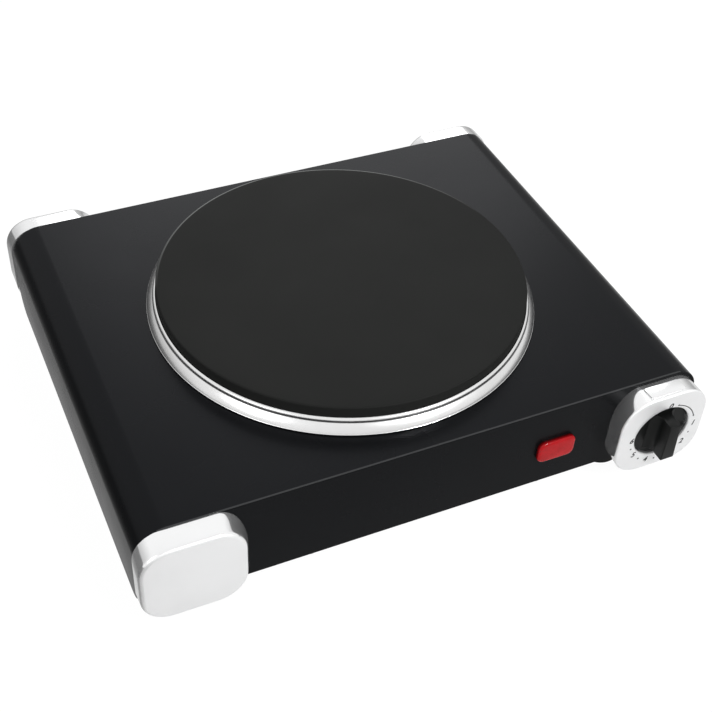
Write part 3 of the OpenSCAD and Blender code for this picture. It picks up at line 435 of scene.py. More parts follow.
def loft(rings, closeStart=True, closeEnd=True):
    # Rings of equally many points, joined one after the other
    count = len(rings[0])
    points = [point for ring in rings for point in ring]
    faces = []
    for row in range(len(rings) - 1):
        here, there = row * count, (row + 1) * count
        for k in range(count):
            after = (k + 1) % count
            faces.append((here + k, here + after, there + after, there + k))
    if closeStart:
        faces.append(tuple(range(count))[::-1])
    if closeEnd:
        faces.append(tuple((len(rings) - 1) * count + k for k in range(count)))
    return points, faces


def softened(name, node, slot, width, reshape=None, flatAngle=0.4, edgeAngle=30):
    # The sheet as the frame has it, with its edges broken by a small round; the angles are in degrees
    mesh = frame["nodes"][node].data.copy()
    shape = bmesh.new()
    shape.from_mesh(mesh)
    bmesh.ops.remove_doubles(shape, verts=shape.verts, dist=weldReach)
    flat, least = math.radians(flatAngle), math.radians(edgeAngle)
    bmesh.ops.dissolve_limit(shape, angle_limit=flat, verts=shape.verts, edges=shape.edges)
    edges = [edge for edge in shape.edges if edge.is_manifold and edge.calc_face_angle() > least]
    bmesh.ops.bevel(shape, geom=edges, offset=width, segments=2, profile=0.5,
                    affect="EDGES", clamp_overlap=True)
    for vertex in shape.verts if reshape else ():
        vertex.co = reshape(vertex.co)
    shape.to_mesh(mesh)
    shape.free()
    piece = addPiece(name, mesh, slot, replaces=[node])
    piece.modifiers.new("flat faces stay flat", "WEIGHTED_NORMAL").keep_sharp = True
    return piece


def asMesh(holder):
    # The mesh that an object shows; the object itself goes
    scene.collection.objects.link(holder)
    bpy.context.view_layer.update()
    made = bpy.data.meshes.new_from_object(holder.evaluated_get(bpy.context.evaluated_depsgraph_get()))
    bpy.data.objects.remove(holder)
    return made


def throughModifier(name, mesh, kind, **settings):
    # Runs one modifier on a mesh and gives back the result
    holder = bpy.data.objects.new(name, mesh)
    modifier = holder.modifiers.new(kind, kind)
    for key, value in settings.items():
        setattr(modifier, key, value)
    return asMesh(holder)


def joined(name, *meshes):
    # Several closed shells in one mesh
    shape = bmesh.new()
    for mesh in meshes:
        shape.from_mesh(mesh)
    made = bpy.data.meshes.new(name)
    shape.to_mesh(made)
    shape.free()
    return made


def combined(name, mesh, other, operation="UNION"):
    tool = bpy.data.objects.new(name + "_tool", other)
    scene.collection.objects.link(tool)
    made = throughModifier(name, mesh, "BOOLEAN", object=tool, operation=operation, solver="EXACT")
    bpy.data.objects.remove(tool)
    return made


def sheetCase():
    rounds = {"top": 0.4 * mm, "panels": 0.25 * mm, "base": 0.2 * mm}
    bend = {"frame": 12 * mm, "eased": 15 * mm, "drawnIn": 0.5 * mm, "slack": 0.01 * mm}

    def easedBend(spot):
        # The side bends run wider than the frame has them, and the walls stand in by a little
        side = math.copysign(1, spot.x)
        pivot = (caseHigh.x - bend["frame"], topZ - bend["frame"])
        across, up = side * spot.x - pivot[0], spot.z - pivot[1]
        if across < -bend["slack"]:
            return spot
        if up < -bend["slack"]:
            return Vector((spot.x - side * bend["drawnIn"], spot.y, spot.z))
        far = math.hypot(across, up)
        reach = bend["eased"] - bend["frame"] + far
        middle = (caseHigh.x - bend["drawnIn"] - bend["eased"], topZ - bend["eased"])
        return Vector((side * (middle[0] + reach * across / far), spot.y, middle[1] + reach * up / far))

    softened("case_top_sheet", "top_cover", "case_enamel", rounds["top"], reshape=easedBend)
    front = softened("case_front_sheet", "front_panel", "case_enamel", rounds["panels"], reshape=easedBend)
    front.data.materials[0] = finishes["panel_enamel"]
    softened("case_rear_sheet", "rear_panel", "case_enamel", rounds["panels"], reshape=easedBend)
    softened("case_base_sheet", "bottom_plate", "plain_steel", rounds["base"])


def ironPlate():
    plate = {
        "edgeRound": 0.9 * mm,
        "rimDepth": 9.9 * mm,
        "bodyRadius": 88 * mm,
        "dropWidth": 6 * mm,  # the top falls away a little towards its edge
        "drop": 0.12 * mm,
        "dropSteps": 6,
        "studHole": 4.05 * mm,
        "studSeat": 8 * mm,
        "bossRadius": 12 * mm,
        "grooves": [36 * mm, 52 * mm, 68 * mm],
        "grooveHalf": 4.5 * mm,
        "grooveDepth": 8.5 * mm,
        "webWidth": 4 * mm,
        "chamfer": 0.4 * mm,
    }
    high = plateHigh.z - plateLow.z
    radius = (plateHigh.x - plateLow.x) / 2
    edge = plate["edgeRound"]
    shallow = plate["grooves"][0] - plate["grooveHalf"] - plate["webWidth"]
    section = [(0, plate["studSeat"]), (plate["studHole"], plate["studSeat"]), (plate["studHole"], 0),
               (plate["bossRadius"], 0), (plate["bossRadius"], plate["grooveDepth"] / 2),
               (shallow, plate["grooveDepth"] / 2), (shallow, 0)]
    for groove in plate["grooves"]:
        inner, outer = groove - plate["grooveHalf"], groove + plate["grooveHalf"]
        section += [(inner, 0), (inner, plate["grooveDepth"]), (outer, plate["grooveDepth"]), (outer, 0)]
    under = high - plate["rimDepth"]
    section += [(plate["bodyRadius"], 0), (plate["bodyRadius"], under), (radius - plate["chamfer"], under),
                (radius, under + plate["chamfer"])]
    shoulder = (radius - edge, high - edge - plate["drop"])
    section += arc(shoulder, edge, 0, 90, 10)
    for step in range(1, plate["dropSteps"] + 1):
        share = step / plate["dropSteps"]
        section.append((radius - edge - plate["dropWidth"] * share, high - plate["drop"] * (1 - share) ** 2))
    section += [(radius * share, high) for share in (0.8, 0.6, 0.4, 0.2)]
    section.append((0, high))
    mesh = lathe("iron_plate", section,
                 lambda a, b, up: (plateAxis.x + a, plateAxis.y + b, plateLow.z + up), steps=256)
    addPiece("iron_plate", mesh, "cast_iron", replaces=["hot_plate"])


def spillRing():
    ring = {
        "gap": 0.3 * mm,  # between the plate and the collar
        "collar": 7.5 * mm,  # height of the collar's inner edge above the case
        "lip": 1.35 * mm,  # thickness of the hemmed collar
        "lipRoll": (1.65 * mm, 1.55 * mm),  # the lip leans outwards from its inner edge
        "lipRise": 0.15 * mm,  # the roll's top above that edge
        "lipStart": 74,  # where the roll starts, in degrees
        "ledge": 3.3 * mm,  # height of the ledge that carries the plate
        "ledgeIn": 88.6 * mm,
        "ledgeDip": 0.05 * mm,
        "skirt": 3 * mm,
        "sheet": 0.6 * mm,
        "width": 4.7 * mm,  # from the collar's inside to the flange's edge
        "fillet": 0.9 * mm,
        "filletHigh": 5.65 * mm,
        "flangeLow": 1 * mm,
        "flangeSteps": 20,
        "slopes": (40, 64),  # of the flange at its foot and at its edge, in degrees
        "hem": 0.35 * mm,
        "hemTuck": (0.4, 0.6),  # how far the hem's roll stands in and down, in shares of its radius
        "backShift": 0.7,  # the flange's underside and its foot, in sheet thicknesses
        "footShift": 0.6,
        "footIn": 0.1 * mm,
    }
    inner = (plateHigh.x - plateLow.x) / 2 + ring["gap"]
    sheet, hem, fillet = ring["sheet"], ring["hem"], ring["fillet"]
    foot = inner + ring["lip"]
    rollMiddle = (foot - ring["lipRoll"][0], ring["collar"] + ring["lipRise"] - ring["lipRoll"][1])
    tuckIn, tuckDown = ring["hemTuck"]
    section = [(ring["ledgeIn"], -ring["skirt"])]
    section += arc((ring["ledgeIn"] + sheet, ring["ledge"] - sheet), sheet, 180, 90, 5)
    section += arc((inner - sheet, ring["ledge"] + sheet), sheet, -90, 0, 5)
    section += [(inner, ring["collar"])]
    section += arc(rollMiddle, ring["lipRoll"], ring["lipStart"], 0, 14)
    section += arc((foot + fillet, ring["filletHigh"]), fillet, 180, 270 - ring["slopes"][0], 6)
    start, end = section[-1], (inner + ring["width"] - tuckIn * hem, ring["flangeLow"])
    length = math.hypot(end[0] - start[0], end[1] - start[1])
    lean = math.atan2(start[1] - end[1], end[0] - start[0])
    bulge = math.tan(math.radians(ring["slopes"][1] - ring["slopes"][0]) / 2)
    flange = []
    for step in range(1, ring["flangeSteps"] + 1):
        # A shallow crown on the straight line from foot to edge
        share = step / ring["flangeSteps"]
        crown = share * (1 - share) * length * bulge
        flange.append((start[0] + (end[0] - start[0]) * share + crown * math.sin(lean),
                       start[1] + (end[1] - start[1]) * share + crown * math.cos(lean)))
    section += flange
    section += arc((inner + ring["width"] - hem, ring["flangeLow"] - tuckDown * hem), hem, 20, -90, 6)
    shift, under, inside = ring["backShift"] * sheet, ring["ledge"] - sheet, ring["ledgeIn"] + sheet
    section += [(across - shift, up - shift) for across, up in flange[3:17:4][::-1]]
    section += [(foot - ring["footIn"], ring["ledge"] - ring["footShift"] * sheet), (inner + sheet, under),
                (inside, under - ring["ledgeDip"]), (inside, -ring["skirt"])]
    mesh = lathe("steel_spill_ring", section,
                 lambda a, b, up: (plateAxis.x + a, plateAxis.y + b, topZ + up), steps=256)
    addPiece("steel_spill_ring", mesh, "ring_steel", replaces=["spill_ring"])


edgeTurns = (15, 30, 45, 60, 75, 90)  # steps of the chrome mouldings' rounded edges


def cornerCap(name, node, sideX, sideY):
    cap = {
        "face": (48.8 * mm, 45.2 * mm),
        "faceDrop": 1.2 * mm,
        "faceCorner": 14.5 * mm,
        "base": (52.1 * mm, 48.7 * mm),
        "baseDrop": 0.6 * mm,
        "baseCorners": (14 * mm, (14 * mm, 28 * mm), 6 * mm, 13 * mm),  # from the outer upper one inwards
        "edgeRound": 2.2 * mm,
        "crown": 0.5 * mm,
        "wall": 2 * mm,
        "sideSteps": 10,
        "faceSteps": 13,
    }
    low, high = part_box(node)
    outer = high.x if sideX > 0 else low.x
    panel = frontY if sideY < 0 else rearY
    out = panel - low.y if sideY < 0 else high.y - panel
    proud = abs(outer) - caseHigh.x
    faceMiddle = (caseHigh.x + proud - cap["face"][0] / 2, topZ - cap["faceDrop"] - cap["face"][1] / 2)
    baseMiddle = (caseHigh.x + proud / 2 - cap["base"][0] / 2, topZ - cap["baseDrop"] - cap["base"][1] / 2)
    base = outline(baseMiddle, cap["base"], cap["baseCorners"])

    def front(inset):
        size = (cap["face"][0] - 2 * inset, cap["face"][1] - 2 * inset)
        return outline(faceMiddle, size, (cap["faceCorner"] - inset,) * 4)

    def ring(points, depth):
        return [(sideX * across, panel + sideY * depth, up) for across, up in points]

    edge = cap["edgeRound"]
    flat = out - cap["crown"]
    shares = [step / cap["sideSteps"] for step in range(cap["sideSteps"] + 1)]
    rings = [ring(betweenRings(base, front(0), share), (flat - edge) * share) for share in shares]
    rings += [ring(front(inset), flat - drop) for inset, drop in roundedEdge(edge, edgeTurns)]
    rim = front(edge)
    for step in range(1, cap["faceSteps"]):
        share = 1 - step / cap["faceSteps"]
        points = [(faceMiddle[0] + (a - faceMiddle[0]) * share, faceMiddle[1] + (b - faceMiddle[1]) * share)
                  for a, b in rim]
        rings.append(ring(points, flat + cap["crown"] * (1 - share ** 2)))
    mesh = closedMesh(name, *loft(rings, closeStart=False))
    mesh = throughModifier(name, mesh, "SOLIDIFY", thickness=cap["wall"], offset=-1)
    addPiece(name, mesh, "cap_chrome", replaces=[node], sharp=40)


def cornerCaps():
    cornerCap("front_left_cap_chrome", "cap_front_left", -1, -1)
    cornerCap("rear_left_cap_chrome", "cap_rear_left", -1, 1)
    cornerCap("rear_right_cap_chrome", "cap_rear_right", 1, 1)


knobMiddle = middleOf("regulator_shaft")


def onFront(across, up, out):
    # A place measured from the knob's axis: across, up, and out of the front panel
    return (knobMiddle.x + across, frontY - out, knobMiddle.z + up)


def knobHousing():
    housing = {
        "out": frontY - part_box("knob_housing")[0].y,
        "faceAcross": (-24.6 * mm, 23.6 * mm),
        "faceUp": (-23.7 * mm, 23.9 * mm),
        "faceCorner": 15.8 * mm,
        "baseAcross": (-22.8 * mm, 23.3 * mm),
        "baseUp": (-23.6 * mm, 22.9 * mm),
        "baseCorners": (14 * mm, (13 * mm, 19 * mm), 14 * mm, 14 * mm),
        "edgeRound": 0.9 * mm,
        "bore": 15.2 * mm,
        "boreEdge": 1 * mm,
        "boreDepth": 8.7 * mm,
        "hubHole": 6.8 * mm,
        "wall": 1.5 * mm,
        "sideSteps": 10,
        "lipSteps": 6,
        "padMiddle": (-0.3 * mm, 6.6 * mm),
        "padSize": (19.6 * mm, 7.8 * mm),
        "padCorner": 1.2 * mm,
        "padHeight": 0.9 * mm,
        "padRoot": 1 * mm,
        "padEdge": 0.25 * mm,
    }

    def rectangle(*spans):
        # Middle and size
        return [(low + high) / 2 for low, high in spans], [high - low for low, high in spans]

    face, faceSize = rectangle(housing["faceAcross"], housing["faceUp"])
    base, baseSize = rectangle(housing["baseAcross"], housing["baseUp"])
    edge, out = housing["edgeRound"], housing["out"]
    foot = outline(base, baseSize, housing["baseCorners"], cornerSteps=18, sideSteps=10)

    def front(inset):
        size = (faceSize[0] - 2 * inset, faceSize[1] - 2 * inset)
        return outline(face, size, (housing["faceCorner"] - inset,) * 4, cornerSteps=18, sideSteps=10)

    def circle(radius):
        return [(radius * math.cos(turn), radius * math.sin(turn)) for turn in turns]

    def ring(points, depth):
        return [onFront(across, up, depth) for across, up in points]

    steps, bore, boreDepth = housing["sideSteps"], housing["bore"], housing["boreDepth"]
    rings = [ring(betweenRings(foot, front(0), step / steps), (out - edge) * step / steps)
             for step in range(steps + 1)]
    rings += [ring(front(inset), out - drop) for inset, drop in roundedEdge(edge, edgeTurns)]
    rim = front(edge)
    turns = [math.atan2(up, across) for across, up in rim]
    lip = circle(bore + housing["boreEdge"])
    lipSteps = housing["lipSteps"]
    rings += [ring(betweenRings(rim, lip, step / lipSteps), out) for step in range(1, lipSteps + 1)]
    rings += [ring(circle(bore + wider), out - deeper)
              for deeper, wider in roundedEdge(housing["boreEdge"], (30, 60, 90))]
    rings += [ring(circle(bore), out - boreDepth / 2), ring(circle(bore), out - boreDepth),
              ring(circle(housing["hubHole"]), out - boreDepth)]
    mesh = closedMesh("knob_housing_shell", *loft(rings, closeStart=False, closeEnd=False))
    mesh = throughModifier("knob_housing_shell", mesh, "SOLIDIFY", thickness=housing["wall"], offset=-1)

    def padRing(inset, lift):
        # Follows the slope of the housing's top
        size = (housing["padSize"][0] - 2 * inset, housing["padSize"][1] - 2 * inset)
        corner = housing["padCorner"] - inset / 2
        points = outline(housing["padMiddle"], size, (corner,) * 4, cornerSteps=5, sideSteps=4)
        root = housing["baseUp"][1]
        slope = (housing["faceUp"][1] - root) / (out - edge)
        return [onFront(across, root + slope * depth + lift, depth) for across, depth in points]

    high, soft = housing["padHeight"], housing["padEdge"]
    pad = [padRing(0, -housing["padRoot"]), padRing(0, high - soft)]
    pad += [padRing(inset, high - drop) for inset, drop in roundedEdge(soft, (30, 60, 90))]
    mesh = joined("knob_housing_shell", mesh, closedMesh("pad", *loft(pad)))
    addPiece("knob_housing_chrome", mesh, "cap_chrome", replaces=["knob_housing"], sharp=40)


def dialPrint():
    dial = {
        "out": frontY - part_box("knob_housing")[0].y,
        "middle": (0.4 * mm, -1.1 * mm),
        "ring": 17.9 * mm,
        "dotRing": 17.8 * mm,
        "numbers": {"0": 2, "1": 89, "2": 129, "3": 165, "4": 200, "5": 235, "6": 272},
        "numberSize": 4.4 * mm,
        "slant": 0.25,
        "weight": 0.12 * mm,
        "dots": (109, 147, 182, 217, 253),
        "dotRadius": 0.48 * mm,
        "dotSides": 24,
        "arc": (18, 71),  # a line with a dot at each end
        "arcSteps": 24,
        "arcRing": 17.9 * mm,
        "arcHalf": 0.23 * mm,
        "ink": 0.03 * mm,
    }
    shape = bmesh.new()

    def stamp(points):
        # One flat mark, standing an ink's thickness out of the face
        back = [shape.verts.new(onFront(a, b, dial["out"] - dial["ink"])) for a, b in points]
        front = [shape.verts.new(onFront(a, b, dial["out"] + dial["ink"])) for a, b in points]
        shape.faces.new(front)
        shape.faces.new(back[::-1])
        for k in range(len(points)):
            after = (k + 1) % len(points)
            shape.faces.new((back[k], back[after], front[after], front[k]))

    def around(turn, radius):
        # Clockwise from the top, in degrees
        middle, angle = dial["middle"], math.radians(turn)
        return middle[0] + radius * math.sin(angle), middle[1] + radius * math.cos(angle)

    dots = [around(turn, dial["dotRing"]) for turn in dial["dots"]]
    dots += [around(turn, dial["arcRing"]) for turn in dial["arc"]]
    sides = dial["dotSides"]
    for dot in dots:
        stamp(arc(dot, dial["dotRadius"], 0, 360 - 360 / sides, sides - 1))
    (first, last), count = dial["arc"], dial["arcSteps"]
    steps = [first + (last - first) * step / count for step in range(count + 1)]
    outer = [around(turn, dial["arcRing"] + dial["arcHalf"]) for turn in steps]
    inner = [around(turn, dial["arcRing"] - dial["arcHalf"]) for turn in steps]
    stamp(outer + inner[::-1])

    for number, turn in dial["numbers"].items():
        curve = bpy.data.curves.new("dial_number", "FONT")
        curve.body = number
        curve.size = dial["numberSize"]
        curve.shear = dial["slant"]
        curve.offset = dial["weight"]
        curve.extrude = dial["ink"]
        curve.align_x = "CENTER"
        curve.align_y = "CENTER"
        mesh = asMesh(bpy.data.objects.new("dial_number", curve))
        across, up = around(turn, dial["ring"])
        spot = Matrix.Translation(onFront(across, up, dial["out"]))
        mesh.transform(spot @ Matrix.Rotation(math.pi / 2, 4, "X"))
        shape.from_mesh(mesh)
    bmesh.ops.recalc_face_normals(shape, faces=shape.faces)
    mesh = bpy.data.meshes.new("dial_print")
    shape.to_mesh(mesh)
    shape.free()
    addPiece("dial_print", mesh, "black_plastic")


def heatKnob():
    knob = {
        "discRadius": 14.95 * mm,
        "discBack": 7.4 * mm,
        "discFront": 9.6 * mm,
        "discEdge": 0.5 * mm,
        "gripOut": 20.5 * mm,
        "gripHalf": 11.2 * mm,
        "tailHalf": 3.8 * mm,
        "pointHalf": 3 * mm,
        "scoop": 4.5 * mm,
        "gripEdge": 0.45 * mm,
        "gripRoot": 0.4 * mm,
        "corner": 0.4 * mm,
        "leastCorner": 0.1 * mm,
        "hubRadius": 6 * mm,
        "hubBack": 2.6 * mm,
    }
    edge, back = knob["discEdge"], knob["discBack"]
    section = [(0, knob["hubBack"]), (knob["hubRadius"], knob["hubBack"]), (knob["hubRadius"], back),
               (knob["discRadius"], back)]
    section += arc((knob["discRadius"] - edge, knob["discFront"] - edge), edge, 0, 90, 5)
    section.append((0, knob["discFront"]))
    disc = lathe("knob_disc", section, onFront, steps=128)

    def gripRing(out, inset):
        # Four rounded corners; the flanks run out into the disc in a scoop
        rise = max(knob["discFront"] + knob["scoop"] - out, 0)
        flare = knob["scoop"] - math.sqrt(max(knob["scoop"] ** 2 - rise ** 2, 0))
        half = knob["gripHalf"] - inset
        point = knob["pointHalf"] + flare - inset
        tail = knob["tailHalf"] + flare - inset
        bend = max(knob["corner"] - inset / 2, knob["leastCorner"])
        corners = ((point - bend, half - bend, 0), (-point + bend, half - bend, 90),
                   (-tail + bend, -half + bend, 180), (tail - bend, -half + bend, 270))
        points = []
        for across, up, start in corners:
            points += arc((across, up), bend, start, start + 90, 4)
        return [onFront(across, up, out) for across, up in points]

    start = knob["discFront"]
    rings = [gripRing(start - knob["gripRoot"], 0)]
    rings += [gripRing(start + rise, 0) for rise, _ in roundedEdge(knob["scoop"], range(10, 91, 10))]
    rings += [gripRing(knob["gripOut"] - drop, inset)
              for inset, drop in roundedEdge(knob["gripEdge"], (0, 22, 45, 68, 90))]
    grip = closedMesh("knob_grip", *loft(rings))
    mesh = combined("heat_knob", disc, grip)
    addPiece("heat_knob_black", mesh, "knob_plastic", replaces=["knob"], body="control", sharp=30)


def lampLens():
    lens = {
        "size": (20.1 * mm, 12.7 * mm),
        "raised": 0.3 * mm,
        "corner": 3.6 * mm,
        "out": 2.8 * mm,
        "side": 1.5 * mm,  # upright part of the side
        "bevel": 1.5 * mm,
        "bevelCorner": 0.6,  # how much of the bevel the corners' radius loses
        "faceSteps": 7,
        "crown": 0.15 * mm,
        "body": (17.5 * mm, 10.5 * mm),
        "bodyCorner": 1.5 * mm,
        "bodyBack": 9 * mm,
        "wall": 0.9 * mm,
    }
    middle = middleOf("lamp_lens")

    def ring(size, corner, out, inset=0):
        inner = (size[0] - 2 * inset, size[1] - 2 * inset)
        centre = (middle.x, middle.z + lens["raised"])
        points = outline(centre, inner, (corner,) * 4, cornerSteps=8, sideSteps=4)
        return [(across, frontY - out, up) for across, up in points]

    body = ring(lens["body"], lens["bodyCorner"], -lens["bodyBack"])
    rings = [body, ring(lens["body"], lens["bodyCorner"], 0), ring(lens["size"], lens["corner"], 0),
             ring(lens["size"], lens["corner"], lens["side"] / 2)]
    faceOut = lens["out"] - lens["crown"]
    for turn in (0, 12, 24, 36, 48, 60, 75, 90):
        share = 1 - math.cos(math.radians(turn))
        out = lens["side"] + (faceOut - lens["side"]) * math.sin(math.radians(turn))
        corner = lens["corner"] - lens["bevelCorner"] * lens["bevel"] * share
        rings.append(ring(lens["size"], corner, out, lens["bevel"] * share))
    rim = rings[-1]
    for step in range(1, lens["faceSteps"]):
        share = 1 - step / lens["faceSteps"]
        out = faceOut + lens["crown"] * (1 - share ** 2)
        rings.append([(middle.x + (x - middle.x) * share, frontY - out, middle.z + (z - middle.z) * share)
                      for x, _, z in rim])
    mesh = closedMesh("lamp_lens_red", *loft(rings, closeStart=False))
    mesh = throughModifier("lamp_lens_red", mesh, "SOLIDIFY", thickness=lens["wall"], offset=-1)
    addPiece("lamp_lens_red", mesh, "lens_red", replaces=["lamp_lens"], sharp=35)


def rubberFeet():
    foot = {
        "stemRadius": 3.8 * mm,
        "barbRadius": 4.8 * mm,
        "barbHeight": 2.6 * mm,
        "barbRoot": 0.1 * mm,
        "beadDepth": 0.3 * mm,  # a low bead runs round the foot's top
        "beadHeights": (0.9 * mm, 0.6 * mm),
        "chamfer": 0.2 * mm,
        "soleRound": 0.8 * mm,
        "flare": 1.6 * mm,  # the sole stands wider than the foot's top
        "recess": 4 * mm,
        "recessSlope": 0.3 * mm,
        "recessDepth": 1.2 * mm,
    }
    depth, soft, chamfer, stem = foot["recessDepth"], foot["soleRound"], foot["chamfer"], foot["stemRadius"]
    beadLow, beadHigh = foot["beadHeights"]
    for corner in ("front_left", "front_right", "rear_left", "rear_right"):
        node = "foot_" + corner
        low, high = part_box(node)
        middle = (low + high) / 2
        radius = (high.x - low.x) / 2
        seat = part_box("bottom_plate")[0].z - low.z
        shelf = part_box("bottom_plate")[1].z - low.z
        sole = radius + foot["flare"]
        section = [(0, depth), (foot["recess"] - foot["recessSlope"], depth), (foot["recess"], 0)]
        section += arc((sole - soft, soft), soft, -90, 0, 5)
        section += [(radius - foot["beadDepth"], seat - beadLow), (radius, seat - beadHigh),
                    (radius, seat - chamfer), (radius - chamfer, seat), (stem, seat), (stem, shelf),
                    (foot["barbRadius"], shelf + foot["barbRoot"]),
                    (stem, shelf + foot["barbHeight"]), (0, shelf + foot["barbHeight"])]
        mesh = lathe("rubber_" + node, section,
                     lambda a, b, up: (middle.x + a, middle.y + b, low.z + up), steps=64)
        addPiece("rubber_" + node, mesh, "foot_rubber", replaces=[node])


def crossHeadScrews(node):
    # Pan heads under the base with a cross recess, one for every solid that the node holds
    screw = {
        "headHeight": 1.8 * mm,
        "crownShare": 0.72,  # the head's shallow crown, in shares of its radius
        "crownDrop": 0.22 * mm,
        "edgeShare": 0.28,  # and its rounded edge
        "edgeMiddle": 0.9 * mm,
        "edgeHeight": 0.68 * mm,
        "shank": 1.5 * mm,
        "tip": 0.6 * mm,
        "slotLength": 3 * mm,
        "slotWidth": 0.75 * mm,
        "slotDepth": 1.1 * mm,
    }
    source = bmesh.new()
    source.from_mesh(frame["nodes"][node].data)
    bmesh.ops.remove_doubles(source, verts=source.verts, dist=weldReach)
    places = []
    waiting = set(source.verts)
    while waiting:
        island = set()
        front = [waiting.pop()]
        while front:
            vertex = front.pop()
            island.add(vertex)
            linked = [edge.other_vert(vertex) for edge in vertex.link_edges]
            front += [other for other in linked if other in waiting]
            waiting.difference_update(linked)
        spots = [vertex.co for vertex in island]
        low = Vector((min(p[i] for p in spots) for i in range(3)))
        high = Vector((max(p[i] for p in spots) for i in range(3)))
        places.append((low, high))
    source.free()
    places.sort(key=lambda pair: (round(pair[0].x, 5), round(pair[0].y, 5)))
    low, high = places[0]
    radius, length = (high.x - low.x) / 2, high.z - low.z
    crown, head, shank = radius * screw["crownShare"], screw["headHeight"], screw["shank"]
    section = [(0, 0)]
    section += [(crown * share, screw["crownDrop"] * share ** 2) for share in (0.4, 0.7, 1)]
    rounding = (radius * screw["edgeShare"], screw["edgeHeight"])
    section += arc((crown, screw["edgeMiddle"]), rounding, -75, 0, 5)
    section += [(radius, head), (shank, head), (shank, length - screw["tip"]), (0.5 * shank, length),
                (0, length)]
    body = lathe("screw", section, lambda a, b, up: (a, b, up), steps=32)
    long, wide, deep = screw["slotLength"] / 2, screw["slotWidth"] / 2, screw["slotDepth"]
    cross = [(wide, wide), (wide, long), (-wide, long), (-wide, wide), (-long, wide), (-long, -wide),
             (-wide, -wide), (-wide, -long), (wide, -long), (wide, -wide), (long, -wide), (long, wide)]
    slots = closedMesh("slots", *loft([[(x, y, up) for x, y in cross] for up in (-deep, deep)]))
    body = combined("screw", body, slots, "DIFFERENCE")
    shape = bmesh.new()
    for low, high in places:
        copy = body.copy()
        copy.transform(Matrix.Translation(((low.x + high.x) / 2, (low.y + high.y) / 2, low.z)))
        shape.from_mesh(copy)
    mesh = bpy.data.meshes.new("cross_head_" + node)
    shape.to_mesh(mesh)
    shape.free()
    addPiece("cross_head_" + node, mesh, "screw_steel", replaces=[node])


def rayKinds(tree):
    # Rays straight from the camera, and rays that a mirror or a lens sends on
    path = tree.nodes.new("ShaderNodeLightPath")
    either = tree.nodes.new("ShaderNodeMath")
    either.operation = "MAXIMUM"
    tree.links.new(path.outputs["Is Glossy Ray"], either.inputs[0])
    tree.links.new(path.outputs["Is Transmission Ray"], either.inputs[1])
    return path.outputs["Is Camera Ray"], either.outputs[0]


def studioRoom():
    room = {
        "fill": 0.85,  # strength of the room's light
        "leftWall": 0.6,  # what gloss sees of the room's back near the horizon
        "rightWall": 0.4,
        "wallEnds": (-0.5, 0.5),
        "highWall": 1.0,  # and higher up
        "frontWall": 0.95,
        "wallHeights": (0.12, 0.56),
        "frontStarts": (0.15, 0.5),
    }
    world = bpy.data.worlds.new("studio")
    scene.world = world
    world.use_nodes = True
    tree = world.node_tree
    background = tree.nodes["Background"]
    background.inputs["Color"].default_value = (1, 1, 1, 1)
    camera, gloss = rayKinds(tree)
    way = tree.nodes.new("ShaderNodeTexCoord").outputs["Generated"]
    low = spread(tree, coordinate(tree, way, "X"), room["leftWall"], room["rightWall"], *room["wallEnds"])
    rise = spread(tree, coordinate(tree, way, "Z"), 0, 1, *room["wallHeights"])
    back = choose(tree, rise, low, room["highWall"])
    front = spread(tree, coordinate(tree, way, "Y"), 1, 0, *room["frontStarts"])
    wall = choose(tree, front, back, room["frontWall"])
    strength = choose(tree, camera, choose(tree, gloss, room["fill"], wall), 1)
    tree.links.new(strength, background.inputs["Strength"])


def studioFloor():
    ground = {
        "size": 6,
        "colour": (0.9, 0.9, 0.9, 1),
        "cameraShare": 0.93,  # share of the floor that shows as plain white
        "cameraGlow": 1.03,
        "glossShare": 0.95,  # the same in a mirror, where it fades out with distance
        "near": 0.3,
        "far": 0.6,
        "nearGlow": 0.68,
        "farGlow": 0.25,
        "darkReflectionEdge": (-0.153, -0.146),  # painted dark reflection: along the stove's left side the floor shows darker to mirrors, as a dark card would
        "darkReflectionFar": -0.2,
        "darkReflectionGlow": (0.05, 0.3),
    }
    half = ground["size"] / 2
    mesh = bpy.data.meshes.new("studio_floor")
    corners = [(-half, -half, 0), (half, -half, 0), (half, half, 0), (-half, half, 0)]
    mesh.from_pydata(corners, [], [(0, 1, 2, 3)])
    floor = bpy.data.objects.new("studio_floor", mesh)
    scene.collection.objects.link(floor)
    material = bpy.data.materials.new("white_floor")
    material.use_nodes = True
    tree = material.node_tree
    tree.nodes.remove(tree.nodes["Principled BSDF"])
    matt = tree.nodes.new("ShaderNodeBsdfDiffuse")
    matt.inputs["Color"].default_value = ground["colour"]
    glow = tree.nodes.new("ShaderNodeEmission")
    mix = tree.nodes.new("ShaderNodeMixShader")
    camera, gloss = rayKinds(tree)
    place = tree.nodes.new("ShaderNodeTexCoord").outputs["Object"]
    away = axisDistance(tree, place, (0, 0, 0))
    fade = spread(tree, away, ground["nearGlow"], ground["farGlow"], ground["near"], ground["far"])
    across = coordinate(tree, place, "X")
    # Painted dark reflection: mirror rays see the floor darker along the stove's left side
    darkReflectionMask = spread(tree, across, 0, 1, *ground["darkReflectionEdge"])
    dark = spread(tree, across, *ground["darkReflectionGlow"], ground["darkReflectionFar"], ground["darkReflectionEdge"][0])
    seen = choose(tree, darkReflectionMask, dark, fade)
    tree.links.new(choose(tree, camera, seen, ground["cameraGlow"]), glow.inputs["Strength"])
    share = choose(tree, camera, choose(tree, gloss, 0, ground["glossShare"]), ground["cameraShare"])
    tree.links.new(share, mix.inputs["Fac"])
    tree.links.new(matt.outputs[0], mix.inputs[1])
    tree.links.new(glow.outputs[0], mix.inputs[2])
    tree.links.new(mix.outputs[0], tree.nodes["Material Output"].inputs["Surface"])
    mesh.materials.append(material)


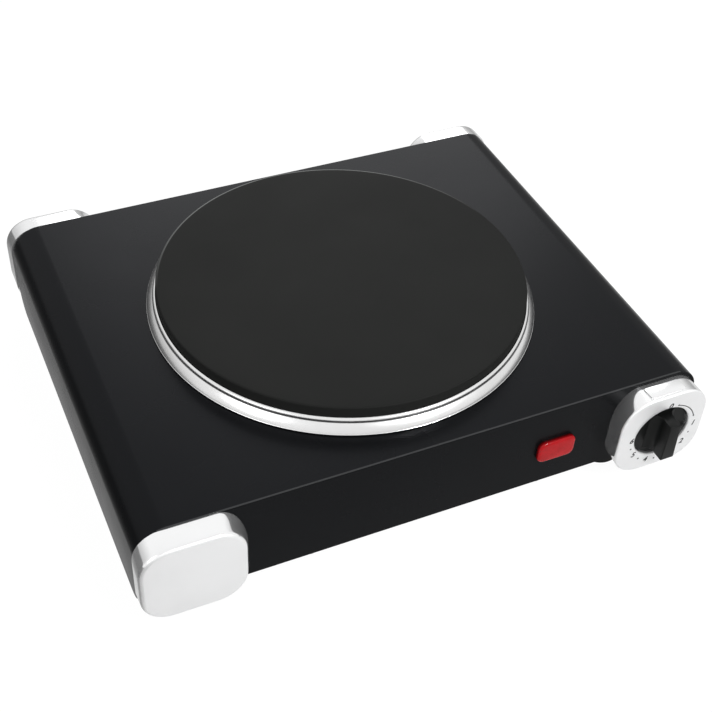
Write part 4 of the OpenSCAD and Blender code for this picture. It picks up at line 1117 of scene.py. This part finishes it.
def softboxes():
    boxes = {
        "back_light": {"place": (0.48, 1.2, 0.8), "size": 0.9, "power": 3.8},
        "front_light": {"place": (0.42, -0.89, 0.9), "size": 0.3, "power": 8},
        "left_light": {"place": (-0.85, -0.33, 0.6), "size": 0.55, "power": 1.1},
    }
    for name, box in boxes.items():
        lamp = bpy.data.lights.new(name, "AREA")
        lamp.shape = "DISK"
        lamp.size = box["size"]
        lamp.energy = box["power"]
        holder = bpy.data.objects.new(name, lamp)
        scene.collection.objects.link(holder)
        holder.location = box["place"]
        holder.rotation_euler = (plateAxis - Vector(box["place"])).to_track_quat("-Z", "Y").to_euler()


def studioCamera():
    view = {
        "place": (-0.20892, -0.43694, 0.47305),
        "heading": 26.44,  # degrees to the right of straight ahead
        "tilt": 43.0505,  # degrees down
        "roll": 3.52,
        "lens": 63.927,
        "sensor": 36,
    }
    data = bpy.data.cameras.new("camera")
    data.sensor_width = view["sensor"]
    data.lens = view["lens"]
    camera = bpy.data.objects.new("camera", data)
    scene.collection.objects.link(camera)
    turn = Matrix.Rotation(math.radians(-view["heading"]), 4, "Z")
    tilt = Matrix.Rotation(math.radians(90 - view["tilt"]), 4, "X")
    roll = Matrix.Rotation(math.radians(view["roll"]), 4, "Z")
    camera.matrix_world = Matrix.Translation(view["place"]) @ turn @ tilt @ roll
    scene.camera = camera


studioCamera()
print("camera set")
blackEnamel()
coatedIron()
turnedSteel()
capChrome()
plainFinishes()
redLens()
bulbGlass()
for part in frame["record"]["subparts"]:
    for materialSlot in frame["nodes"][part["node"]].material_slots:
        materialSlot.material = finishes[part["material_slot"]]
print("finishes made:", len(finishes))
sheetCase()
print("case done")
ironPlate()
spillRing()
print("plate and ring done")
cornerCaps()
knobHousing()
dialPrint()
heatKnob()
lampLens()
print("chrome, knob and lamp done")
rubberFeet()
for screws in ("base_screws", "shield_screws", "block_screws"):
    crossHeadScrews(screws)
print("underside done")
studioRoom()
studioFloor()
softboxes()
scene.view_settings.view_transform = "Standard"
